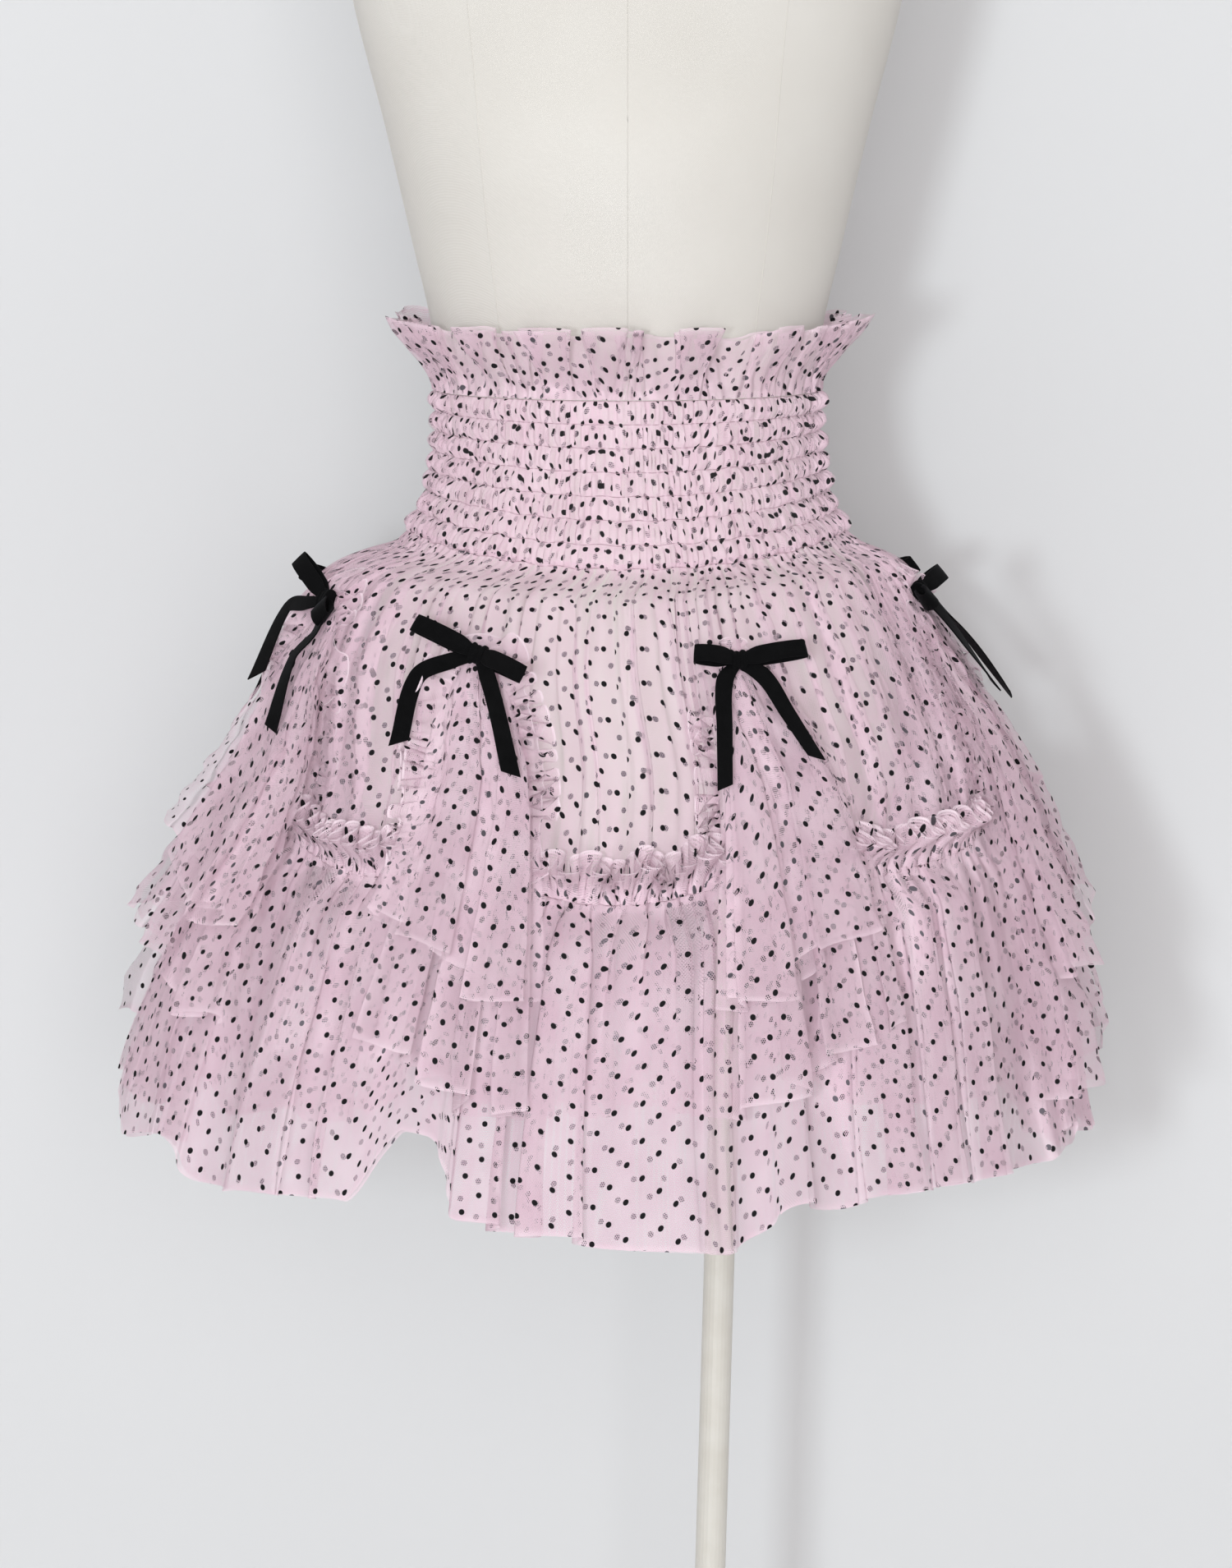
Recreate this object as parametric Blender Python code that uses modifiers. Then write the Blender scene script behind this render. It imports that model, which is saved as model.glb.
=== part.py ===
"""A tulle mini skirt with a swagged flounce and velvet bows, on a limbless dress form with a pole and a base.

Metres, +Z up, -Y to the front. The origin is on the floor, at the middle of the base's underside and under
the form's upright axis. An angle round the skirt is in degrees from the front, growing towards +X."""

import math

import bmesh
import bpy
from mathutils import Matrix, Vector

# Driving dimensions
GAP = 0.0003  # between pieces that touch
CLOTH = 0.0020  # a wall of tulle: two layers and the air that they hold
RIBBON_WIDTH = 0.0105
RIBBON = 0.0012  # the velvet ribbon's thickness
WAIST_TOP = 1.060  # height of the band's upper edge
FLOUNCE_SEAM = 0.787  # height of the flounce's seam at the front and the back
SEAM_RISE = 0.023  # how much higher that seam runs at the sides
HEADING = 0.025  # the frill above that seam
FORM_TOP = 1.475
FORM_BOTTOM = 0.790
PLATE = 0.012  # thickness of the plate under the hips and of the base
POLE_RADIUS = 0.0089
POLE_TOP_X = 0.060  # the pole stands off the form's middle and leans back to it
POLE_FOOT_X = 0.039
BASE_RADIUS = 0.180
PUFFED_ROWS = 7  # rows of the band between its lines of elastic
RUFFLE_HEIGHT = 0.041

# Sections of the form: height, half width, half depth, y of the middle
FORM = (
    (FORM_BOTTOM, 0.148, 0.104, 0.008),
    (0.860, 0.158, 0.112, 0.008),
    (0.910, 0.150, 0.109, 0.005),
    (0.950, 0.138, 0.102, 0.002),
    (0.977, 0.1255, 0.096, 0.000),
    (1.0015, 0.1135, 0.089, 0.000),
    (1.035, 0.1078, 0.084, 0.000),
    (1.060, 0.1090, 0.084, 0.000),
    (1.097, 0.1125, 0.087, -0.002),
    (1.140, 0.1220, 0.096, -0.007),
    (1.212, 0.1385, 0.112, -0.014),
    (1.289, 0.1580, 0.108, -0.008),
    (1.340, 0.1640, 0.098, 0.000),
    (1.375, 0.1500, 0.083, 0.006),
    (1.405, 0.1080, 0.066, 0.010),
    (1.430, 0.0660, 0.054, 0.012),
    (FORM_TOP, 0.0520, 0.049, 0.012),
)
# The skirt's own surface under the flounce: height, half width, half depth
SKIRT = (
    (0.580, 0.266, 0.235),
    (0.640, 0.257, 0.226),
    (0.700, 0.246, 0.215),
    (0.750, 0.234, 0.203),
    (0.787, 0.224, 0.193),
    (0.810, 0.218, 0.187),
    (0.850, 0.208, 0.176),
    (0.890, 0.197, 0.165),
    (0.920, 0.186, 0.154),
    (0.945, 0.172, 0.140),
    (0.960, 0.159, 0.126),
    (0.972, 0.1335, 0.1040),
)
SWAY = 0.016  # how far the hem hangs over to the left of the form
HIP_SWAY = 0.009  # and how far the cloth at the bows does
# The flounce's hem: angle, height
HEM = (
    (0, 0.606),
    (16, 0.598),
    (27, 0.620),
    (45, 0.626),
    (90, 0.625),
    (135, 0.612),
    (180, 0.600),
    (225, 0.610),
    (260, 0.642),
    (270, 0.664),
    (280, 0.655),
    (292, 0.630),
    (312, 0.622),
    (327, 0.624),
    (338, 0.619),
    (360, 0.606),
)
# Bows: name, angle, height, the cascade's drop, how far its hem stands out and swings to the right,
# and how much the flounce's hem rises under it
BOWS = (
    ("front_right", 21.3, 0.917, 0.168, 0.030, 0.015, 0.010),
    ("side_front_right", 78.0, 0.943, 0.197, 0.041, 0.000, 0.012),
    ("side_back_right", 122.0, 0.940, 0.185, 0.038, 0.004, 0.020),
    ("back_right", 157.0, 0.920, 0.172, 0.030, -0.004, 0.030),
    ("back_left", 203.0, 0.918, 0.170, 0.030, 0.006, 0.026),
    ("side_back_left", 241.0, 0.938, 0.178, 0.045, -0.004, 0.022),
    ("side_front_left", 296.5, 0.942, 0.154, 0.052, 0.000, 0.018),
    ("front_left", 337.2, 0.920, 0.170, 0.030, 0.007, 0.045),
)
# Loops of a bow: length, degrees above level, right (1) or left (-1)
LOOPS = {
    "front_right": ((0.035, 7, 1), (0.026, 10, -1)),
    "side_front_right": ((0.030, 12, 1), (0.022, -16, -1)),
    "side_back_right": ((0.032, -6, 1), (0.030, 15, -1)),
    "back_right": ((0.032, 14, 1), (0.034, -8, -1)),
    "back_left": ((0.034, -12, 1), (0.031, 16, -1)),
    "side_back_left": ((0.026, 14, 1), (0.033, -5, -1)),
    "side_front_left": ((0.020, -35, 1), (0.036, 32, -1)),
    "front_left": ((0.032, -20, 1), (0.037, 24, -1)),
}
# Tails of a bow: how far right of the knot and how far under it each of its bends lies
TAILS = {
    "front_right": (((0.011, 0.006), (0.018, 0.026), (0.025, 0.049)),
                    ((-0.011, 0.008), (-0.019, 0.034), (-0.027, 0.062))),
    "side_front_right": (((0.012, 0.006), (0.028, 0.028), (0.036, 0.060)),
                         ((0.003, 0.010), (0.011, 0.034), (0.015, 0.052))),
    "side_back_right": (((0.010, 0.006), (0.018, 0.026), (0.023, 0.064)),
                        ((-0.010, 0.006), (-0.020, 0.026), (-0.028, 0.060))),
    "back_right": (((0.010, 0.006), (0.019, 0.026), (0.024, 0.066)),
                   ((-0.010, 0.006), (-0.022, 0.026), (-0.030, 0.060))),
    "back_left": (((0.010, 0.006), (0.022, 0.026), (0.028, 0.064)),
                  ((-0.009, 0.006), (-0.017, 0.028), (-0.023, 0.070))),
    "side_back_left": (((0.010, 0.006), (0.020, 0.028), (0.024, 0.062)),
                       ((-0.010, 0.006), (-0.016, 0.030), (-0.022, 0.066))),
    "side_front_left": (((0.014, 0.013), (0.010, 0.028), (0.020, 0.066)),
                        ((-0.014, 0.000), (-0.032, 0.004), (-0.016, 0.040))),
    "front_left": (((0.008, 0.007), (0.016, 0.028), (0.024, 0.058)),
                   ((-0.013, 0.001), (-0.030, 0.010), (-0.037, 0.045))),
}
# Looks: colour, roughness, metallic
LOOKS = {
    "linen": ((0.80, 0.77, 0.73), 0.9, 0.0),
    "pink_tulle": ((0.68, 0.54, 0.60), 0.8, 0.0),
    "black_velvet": ((0.02, 0.02, 0.02), 0.95, 0.0),
    "cream_paint": ((0.75, 0.72, 0.66), 0.3, 0.0),
}


def level(table, height):
    """The other columns of a table of levels at a height, on a smooth curve through its rows."""
    height = min(max(height, table[0][0]), table[-1][0])
    i = max(k for k in range(len(table) - 1) if table[k][0] <= height)
    low, high = table[i], table[i + 1]
    before, after = table[max(i - 1, 0)], table[min(i + 2, len(table) - 1)]
    step = high[0] - low[0]
    t = (height - low[0]) / step
    values = []
    for column in range(1, len(low)):
        slope_low = (high[column] - before[column]) / (high[0] - before[0])
        slope_high = (after[column] - low[column]) / (after[0] - low[0])
        values.append(
            low[column] * (2 * t**3 - 3 * t**2 + 1)
            + high[column] * (3 * t**2 - 2 * t**3)
            + step * slope_low * (t**3 - 2 * t**2 + t)
            + step * slope_high * (t**3 - t**2)
        )
    return values


def ease(value, start, end):
    """Rises smoothly from 0 at start to 1 at end."""
    t = min(max((value - start) / (end - start), 0), 1)
    return t * t * (3 - 2 * t)


def form_point(angle, height, out=0.0):
    """A point round the form, moved outward."""
    half_width, half_depth, middle = level(FORM, height)
    phi = math.radians(angle)
    return Vector(((half_width + out) * math.sin(phi), middle - (half_depth + out) * math.cos(phi), height))


def skirt_point(angle, height, out=0.0):
    """A point round the skirt's own surface, moved outward."""
    half_width, half_depth = level(SKIRT, height)
    phi = math.radians(angle)
    middle = -SWAY * (1 - ease(height, 0.62, 0.88))
    middle -= HIP_SWAY * ease(height, 0.84, 0.92) * (1 - ease(height, 0.95, 0.975))
    return Vector((middle + (half_width + out) * math.sin(phi), -(half_depth + out) * math.cos(phi), height))


def seat(height, layers=1):
    """How far out of the skirt's surface a wall's middle lies that rests on it, or on more walls there."""
    run = level(SKIRT, height - 0.004)[1] - level(SKIRT, height + 0.004)[1]
    return layers * (CLOTH + GAP) * math.hypot(1, run / 0.008)


def skirt_stride(angle, height):
    """Metres along the skirt's surface for each degree at an angle."""
    return (skirt_point(angle + 0.5, height) - skirt_point(angle - 0.5, height)).length


def band_bottom(angle):
    """The band dips at the front and the back."""
    return 0.9727 - 0.0072 * math.cos(2 * math.radians(angle))


def nearest_bow(angle):
    """The bow nearest to an angle, and how many degrees away it is."""
    def away(bow):
        return abs((angle - bow[1] + 180) % 360 - 180)

    bow = min(BOWS, key=away)
    return bow, away(bow)


def seam_height(angle):
    """The flounce's seam runs higher at the sides and near the bows."""
    near_bow = 1 - ease(nearest_bow(angle)[1], 4, 20)
    return FLOUNCE_SEAM + SEAM_RISE * math.sin(math.radians(angle)) ** 2 + 0.008 * near_bow


def hem_height(angle):
    """The flounce's hem rises under each bow."""
    bow, away = nearest_bow(angle)
    return level(HEM, angle % 360)[0] + bow[-1] * (1 - ease(away, 1, 8))


def material(name):
    colour, roughness, metallic = LOOKS[name]
    made = bpy.data.materials.new(name)
    made.use_nodes = True
    surface = made.node_tree.nodes["Principled BSDF"]
    surface.inputs["Base Color"].default_value = (*colour, 1)
    surface.inputs["Roughness"].default_value = roughness
    surface.inputs["Metallic"].default_value = metallic
    return made


def add_object(name, mesh, look, parent):
    """Puts a mesh in the scene as a named sub-part."""
    made = bpy.data.objects.new(name, mesh)
    mesh.materials.clear()
    mesh.materials.append(look)
    bpy.data.collections["tulle_skirt_on_form"].objects.link(made)
    made.parent = parent
    return made


def sheet_mesh(name, columns, rows, place, ring=False):
    """An open surface whose points are place(u, v), with u and v from 0 to 1. A ring's ends are welded."""
    bm = bmesh.new()
    bmesh.ops.create_grid(bm, x_segments=columns, y_segments=rows, size=0.5)
    for vertex in bm.verts:
        vertex.co = place(vertex.co.x + 0.5, vertex.co.y + 0.5)
    if ring:
        bmesh.ops.remove_doubles(bm, verts=bm.verts, dist=0.00001)
    mesh = bpy.data.meshes.new(name)
    bm.to_mesh(mesh)
    bm.free()
    return mesh


def add_cloth(name, columns, rows, place, look, parent, ring=False):
    """A wall of cloth: an open surface with a Solidify of the cloth's thickness, half to each side."""
    made = add_object(name, sheet_mesh(name, columns, rows, place, ring), look, parent)
    made.data.shade_smooth()
    wall = made.modifiers.new("wall", "SOLIDIFY")
    wall.thickness = CLOTH
    wall.offset = 0
    return made


def loft_mesh(name, sections, ring=False):
    """A solid through loops of points. It has a face at each end, or joins its last loop to its first."""
    bm = bmesh.new()
    loops = [[bm.verts.new(point) for point in section] for section in sections]
    pairs = list(zip(loops, loops[1:]))
    if ring:
        pairs.append((loops[-1], loops[0]))
    else:
        bm.faces.new(loops[0])
        bm.faces.new(loops[-1])
    for near, far in pairs:
        for i in range(len(near)):
            j = (i + 1) % len(near)
            bm.faces.new((near[i], near[j], far[j], far[i]))
    bmesh.ops.recalc_face_normals(bm, faces=bm.faces)
    mesh = bpy.data.meshes.new(name)
    bm.to_mesh(mesh)
    bm.free()
    return mesh


def united(name, meshes):
    """One mesh of several that overlap."""
    bits = [bpy.data.objects.new(f"{name}_bit", mesh) for mesh in meshes]
    for bit in bits:
        bpy.context.scene.collection.objects.link(bit)
    for bit in bits[1:]:
        join = bits[0].modifiers.new("join", "BOOLEAN")
        join.operation = "UNION"
        join.object = bit
    bpy.context.view_layer.update()
    seen = bits[0].evaluated_get(bpy.context.evaluated_depsgraph_get())
    mesh = bpy.data.meshes.new_from_object(seen)
    mesh.name = name
    for bit in bits:
        bpy.data.objects.remove(bit)
    return mesh


def add_form(looks, parent):
    """The padded torso with its neck cap."""
    columns, waist_levels, waist_step = 24, 8, 0.0125
    heights = {row[0] for row in FORM}
    heights |= {0.970 + waist_step * i for i in range(waist_levels)}  # under the band the form is a close fit
    rings = [[form_point(360 * c / columns, height) for c in range(columns)] for height in sorted(heights)]
    add_object("form_torso", loft_mesh("form_torso", rings), looks["linen"], parent).data.shade_smooth()

    half_width, half_depth, middle = level(FORM, FORM_TOP)
    cap = bmesh.new()
    bmesh.ops.create_cone(cap, cap_ends=True, segments=24, radius1=1, radius2=1, depth=0.008)
    mesh = bpy.data.meshes.new("form_neck_cap")
    cap.to_mesh(mesh)
    cap.free()
    neck_cap = add_object("form_neck_cap", mesh, looks["cream_paint"], parent)
    mesh.transform(Matrix.Diagonal((half_width, half_depth, 1, 1)))
    neck_cap.location = (0, middle, FORM_TOP + GAP + 0.004)
    rounded = neck_cap.modifiers.new("edge", "BEVEL")
    rounded.width = 0.002
    rounded.segments = 1


def add_stand(looks, parent):
    """The plate under the hips, the leaning pole, its socket and the round base."""
    half_width, half_depth, middle = level(FORM, FORM_BOTTOM)
    inset = 0.030
    bpy.ops.mesh.primitive_cylinder_add(vertices=24, radius=1, depth=PLATE)
    plate = bpy.context.object
    plate.data.transform(Matrix.Diagonal((half_width - inset, half_depth - inset, 1, 1)))
    plate.location = (0, middle, FORM_BOTTOM - GAP - PLATE / 2)

    gap = 2 * GAP  # the leaning pole's ends are square to it
    top = Vector((POLE_TOP_X, 0, FORM_BOTTOM - GAP - PLATE - gap))
    foot = Vector((POLE_FOOT_X, 0, PLATE + gap))
    bpy.ops.mesh.primitive_cylinder_add(vertices=24, radius=POLE_RADIUS, depth=(top - foot).length)
    pole = bpy.context.object
    pole.location = (top + foot) / 2
    pole.rotation_mode = "QUATERNION"
    pole.rotation_quaternion = (top - foot).to_track_quat("Z", "Y")

    bpy.ops.mesh.primitive_cylinder_add(vertices=48, radius=BASE_RADIUS, depth=PLATE)
    base = bpy.context.object
    base.location = (0, 0, PLATE / 2)

    socket_height, socket_wall, play = 0.040, 0.010, 0.0016
    inner = POLE_RADIUS + play
    outline = ((inner + socket_wall, socket_height), (inner + socket_wall, 0), (inner, 0),
               (inner, socket_height), (inner + socket_wall, socket_height))
    bm = bmesh.new()
    corners = [bm.verts.new((radius, 0, height)) for radius, height in outline[:-1]]
    for near, far in zip(corners, corners[1:] + corners[:1]):
        bm.edges.new((near, far))
    mesh = bpy.data.meshes.new("stand_socket")
    bm.to_mesh(mesh)
    bm.free()
    socket = add_object("stand_socket", mesh, looks["cream_paint"], parent)
    socket.location = (POLE_FOOT_X + 0.0006, 0, PLATE + GAP)
    turned = socket.modifiers.new("turned", "SCREW")
    turned.steps = turned.render_steps = 24
    turned.use_merge_vertices = True
    turned.merge_threshold = 0.0001

    collection = bpy.data.collections["tulle_skirt_on_form"]
    for made, name in ((plate, "form_hip_plate"), (pole, "stand_pole"), (base, "stand_base")):
        made.name = made.data.name = name
        made.data.materials.append(looks["cream_paint"])
        for holder in list(made.users_collection):
            holder.objects.unlink(made)
        collection.objects.link(made)
        made.parent = parent
        if made is pole:
            made.data.shade_smooth()
            made.data.set_sharp_from_angle(angle=math.radians(40))
        else:
            rounded = made.modifiers.new("edge", "BEVEL")
            rounded.width = 0.002
            rounded.segments = 1
            rounded.limit_method = "ANGLE"


def add_waistband(look, parent):
    """The shirred band: puffed rows between lines of elastic, puckered outside and plain inside."""
    columns = 64
    puff, pucker, clear = 0.0026, 0.0005, 0.0010
    steps = 2 * PUFFED_ROWS
    inside = (1.0, 0.66, 0.33, 0.0)

    def profile(column):
        angle = 360 * column / columns
        low = band_bottom(angle)
        side = 1 if column % 2 else -1
        points = []
        for i in range(steps + 1):
            height = low + (WAIST_TOP - low) * i / steps
            raised = puff + side * pucker if i % 2 else 0
            points.append(form_point(angle, height, clear + CLOTH + raised))
        points += [form_point(angle, low + (WAIST_TOP - low) * part, clear) for part in inside]
        return points

    rings = [profile(column) for column in range(columns)]
    add_object("waistband", loft_mesh("waistband", rings, ring=True), look, parent)


def add_top_ruffle(look, parent):
    """The frill that stands up from the band and leans out in deep waves."""
    waves, depth, lean, clear = 21, 0.0100, 0.0165, 0.0024

    def place(u, v):
        angle = 360 * u
        wander = 0.7 * math.sin(math.radians(3 * angle) + 0.6)
        wave = math.cos(math.radians(waves * angle) + wander)
        height = WAIST_TOP + 0.0008 + RUFFLE_HEIGHT * v * (1 + 0.05 * wave)
        return form_point(angle, height, clear + ease(v, 0.05, 1) * (lean + depth * wave))

    add_cloth("top_ruffle", 4 * waves, 3, place, look, parent, ring=True)


def add_upper_skirt(look, parent):
    """The gathered skirt from the band to just under the flounce's seam."""
    folds, depth, below = 20, 0.0065, 0.006

    def place(u, v):
        angle = 360 * u
        top = band_bottom(angle) - 4 * GAP
        if v == 1:
            return form_point(angle, top, CLOTH)
        low = seam_height(angle) - below
        height = low + (top - low) * (1 - (1 - v) ** 1.5)  # rows are closer where the band draws the cloth in
        flat_at_bow = ease(nearest_bow(angle)[1], 8, 14)
        wander = 0.9 * math.sin(math.radians(5 * angle) + 1.1)
        wave = math.cos(math.radians(folds * angle) + wander)
        out = depth * wave * flat_at_bow * math.sin(math.pi * min(max(v - 0.06, 0) / 0.94, 1))
        return skirt_point(angle, height, out)

    add_cloth("skirt_upper", 4 * folds, 6, place, look, parent, ring=True)


def add_flounce(look, parent):
    """The gathered strip that hangs from an even seam between the bows, with its heading as a frill."""
    folds, rows = 40, 5
    swell, lift, fold_depth = 0.009, 0.017, 0.013
    heading_lean, heading_depth = 0.011, 0.0035

    def place(u, v):
        angle = 360 * u
        phi = math.radians(angle)
        away = nearest_bow(angle)[1]
        seam = seam_height(angle)
        row = round((1 - v) * rows)
        wander = 0.9 * math.sin(3 * phi + 0.5) + 0.5 * math.sin(7 * phi)
        wave = math.cos(folds * phi + wander)
        if row == 0:
            beside_bow = ease(away, 9, 17)
            height = seam + 0.004 + (HEADING - 0.004) * beside_bow
            leans = beside_bow * (heading_lean - heading_depth * wave)
            return skirt_point(angle, height, seat(height) + GAP + leans)
        t = (row - 1) / (rows - 1)
        height = seam + (hem_height(angle) - seam) * t
        depth = fold_depth * (0.35 + 0.65 * ease(away, 6, 14))
        out = swell * ease(t, 0, 0.22) + (lift - swell) * t + depth * wave * t**0.9
        return skirt_point(angle, height, seat(height) + GAP + out)

    add_cloth("flounce", 4 * folds, rows, place, look, parent, ring=True)


def cascade_place(bow):
    """Where a point of a cascade lies: v is 1 at the frill above its bow and 0 at its hem. It also gives the
    rows, as heights above the bow."""
    _, bow_angle, bow_height, drop, stands_out, swing, _ = bow
    flat = 0.009  # above and below the knot, where the cascade is drawn in
    halo, halo_width, halo_lean = 0.018, 0.018, 0.006
    pinched, spread = 0.010, 0.042
    falls = 4
    outer_side = 1 if bow_angle < 180 else -1
    rows = [halo, flat, -flat] + [-flat - (drop - flat) * (i + 1) / falls for i in range(falls)]

    def place(u, v):
        row = round((1 - v) * (len(rows) - 1))
        across = 2 * u - 1
        rise = rows[row]
        t = max(-rise - flat, 0) / (drop - flat)
        if row == 0:
            side, out = halo_width * across, halo_lean
            rise -= 0.007 * across**2
        else:
            side = (pinched + spread * t**0.85) * across + swing * t
            out = stands_out * t**1.25 + 0.0075 * t * math.cos(2 * math.pi * 2.5 * u + bow_angle)
            rise -= 0.030 * t * ease(-across * outer_side, -0.3, 0.6)
        height = bow_height + rise
        angle = bow_angle + side / skirt_stride(bow_angle, height)
        return skirt_point(angle, height, seat(height) + GAP + out)

    return rows, place


def strip(bends, half_width_of, thickness):
    """A mesh of a flat ribbon through points that carry the ribbon's way across: (point, across, normal)."""
    sections = []
    for i, (point, across, normal) in enumerate(bends):
        half = half_width_of(i) * across
        thick = thickness / 2 * normal
        sections.append([point + half + thick, point - half + thick, point - half - thick, point + half - thick])
    return loft_mesh("strip", sections)


def add_bow(bow, look, parent):
    """A velvet bow on its cascade: a knot, two loops and two tails in one piece."""
    name, bow_angle, bow_height, drop, stands_out, _, _ = bow
    knot_width, knot_height, knot_depth = 0.009, 0.012, 0.008
    right = (skirt_point(bow_angle + 1, bow_height) - skirt_point(bow_angle - 1, bow_height)).normalized()
    up = (skirt_point(bow_angle, bow_height + 0.008) - skirt_point(bow_angle, bow_height - 0.008)).normalized()
    outward = right.cross(up)
    centre = skirt_point(bow_angle, bow_height, seat(bow_height)) + outward * (CLOTH / 2 + 1.5 * GAP)

    knot = bmesh.new()
    bmesh.ops.create_cube(knot, size=1)
    bmesh.ops.scale(knot, verts=knot.verts, vec=(knot_width, knot_depth, knot_height))
    bmesh.ops.bevel(knot, geom=knot.edges, offset=0.0022, segments=1, affect="EDGES")
    knot_mesh = bpy.data.meshes.new("knot")
    knot.to_mesh(knot_mesh)
    knot.free()
    turn = Matrix((right, outward, up)).transposed().to_4x4()
    knot_mesh.transform(Matrix.Translation(centre + outward * knot_depth / 2) @ turn)

    meshes = [knot_mesh]
    loop_depth, loop_lean, loop_steps = 0.0036, 0.36, 8
    root = centre + outward * (knot_depth / 2 + 0.0008)
    for length, tilt, way in LOOPS[name]:
        slope = math.radians(tilt)
        along = (way * math.cos(slope) * right + math.sin(slope) * up + loop_lean * outward).normalized()
        across = along.cross(outward).normalized()
        thick_way = across.cross(along)
        sections = []
        for i in range(loop_steps):
            theta = 2 * math.pi * i / loop_steps
            ring = []
            for inset, side in ((0, 1), (0, -1), (RIBBON, -1), (RIBBON, 1)):
                reach = length / 2 - math.cos(theta) * (length / 2 - inset)
                bulge = math.sin(theta) * (loop_depth - inset)
                width = RIBBON_WIDTH / 2 * (0.72 + 0.28 * ease(reach, 0, 0.012))
                ring.append(root + along * reach + thick_way * bulge + across * side * width)
            sections.append(ring)
        meshes.append(loft_mesh("loop", sections, ring=True))

    tail_clear = 0.0028
    for bends in TAILS[name]:
        path = [root - 0.001 * up]
        for side, down in bends:
            height = bow_height - down
            t = max(down - 0.009, 0) / (drop - 0.009)
            out = seat(height, 2) + tail_clear + stands_out * t**1.25 + 0.0075 * t
            path.append(skirt_point(bow_angle + side / skirt_stride(bow_angle, height), height, out))
        rows = []
        for i, point in enumerate(path):
            run = (path[min(i + 1, len(path) - 1)] - path[max(i - 1, 0)]).normalized()
            across = run.cross(outward).normalized()
            rows.append((point, across, across.cross(run)))
        meshes.append(strip(rows, lambda i: RIBBON_WIDTH / 2 * (0.7 if i == 0 else 0.95), RIBBON))
    add_object(f"bow_{name}", united(f"bow_{name}", meshes), look, parent)


def clear_scene():
    for item in list(bpy.data.objects):
        bpy.data.objects.remove(item)


def add_root(name):
    root = bpy.data.objects.new(name, None)
    bpy.data.collections["tulle_skirt_on_form"].objects.link(root)
    return root


def main():
    clear_scene()
    collection = bpy.data.collections.new("tulle_skirt_on_form")
    bpy.context.scene.collection.children.link(collection)
    form, skirt = add_root("dress_form"), add_root("skirt")
    looks = {name: material(name) for name in LOOKS}
    tulle = looks["pink_tulle"]

    add_form(looks, form)
    add_stand(looks, form)
    add_waistband(tulle, skirt)
    add_top_ruffle(tulle, skirt)
    add_upper_skirt(tulle, skirt)
    add_flounce(tulle, skirt)
    for bow in BOWS:
        rows, place = cascade_place(bow)
        add_cloth(f"cascade_{bow[0]}", 8, len(rows) - 1, place, tulle, skirt)
        add_bow(bow, looks["black_velvet"], skirt)


main()
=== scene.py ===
# %% [markdown]
# # Tulle mini skirt on a dress form
# A short skirt of doubled pink net with small flocked dots: a frill and a shirred band at the waist,
# a gathered skirt, a flounce on a swagged seam that climbs to each bow as a cascade, and velvet bows. It
# hangs on a linen-covered form whose painted pole stands in a round base. The rigid solids are loaded
# first; this lesson then makes each cloth layer as a thin surface on the form of its solid.
# Metres, +Z up, -Y to the front. Angles round the skirt are in degrees from the front, towards +X.

# %% Load the solids
import math

import bpy
import numpy as np
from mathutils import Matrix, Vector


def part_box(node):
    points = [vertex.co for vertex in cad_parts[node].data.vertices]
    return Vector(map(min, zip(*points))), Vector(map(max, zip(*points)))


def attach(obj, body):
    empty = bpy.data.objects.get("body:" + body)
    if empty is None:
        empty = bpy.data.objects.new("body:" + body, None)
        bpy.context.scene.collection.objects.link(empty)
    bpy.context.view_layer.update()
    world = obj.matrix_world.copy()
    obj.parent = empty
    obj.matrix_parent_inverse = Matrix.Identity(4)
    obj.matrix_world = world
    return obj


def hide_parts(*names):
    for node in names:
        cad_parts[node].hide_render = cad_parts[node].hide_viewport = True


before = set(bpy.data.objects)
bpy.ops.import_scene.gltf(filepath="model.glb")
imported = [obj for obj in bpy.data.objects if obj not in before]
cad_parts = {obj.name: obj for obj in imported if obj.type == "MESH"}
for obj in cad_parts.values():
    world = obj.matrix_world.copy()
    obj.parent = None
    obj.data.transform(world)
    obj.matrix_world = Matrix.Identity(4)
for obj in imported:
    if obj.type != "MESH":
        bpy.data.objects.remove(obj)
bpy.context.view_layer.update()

# %% [markdown]
# ## Curves through a few levels
# A body has no simple formula, but its level cuts are close to ellipses. A table gives their sizes at a few
# heights, and a smooth curve through the rows gives them at every height. The same curves draw hems,
# seams and ribbons. Splines in Blender could do this too; arrays are quicker and give exact places.

# %% Smooth steps, tables and ellipses
def ease(value, start, end):
    """Rises smoothly from 0 at start to 1 at end."""
    t = np.clip((value - start) / (end - start), 0, 1)
    return t * t * (3 - 2 * t)


def level(table, height):
    """The other columns of a table of levels at each height, on a smooth curve through its rows."""
    table = np.array(table)
    height = np.clip(height, table[0, 0], table[-1, 0])
    low = np.clip(np.searchsorted(table[:, 0], height, side="right") - 1, 0, len(table) - 2)
    high, before, after = low + 1, np.maximum(low - 1, 0), np.minimum(low + 2, len(table) - 1)
    step = table[high, 0] - table[low, 0]
    t = (height - table[low, 0]) / step
    values = []
    for column in range(1, table.shape[1]):
        data = table[:, column]
        slope_low = (data[high] - data[before]) / (table[high, 0] - table[before, 0])
        slope_high = (data[after] - data[low]) / (table[after, 0] - table[low, 0])
        values.append(
            data[low] * (2 * t**3 - 3 * t**2 + 1)
            + data[high] * (3 * t**2 - 2 * t**3)
            + step * slope_low * (t**3 - 2 * t**2 + t)
            + step * slope_high * (t**3 - t**2)
        )
    return values


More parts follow.
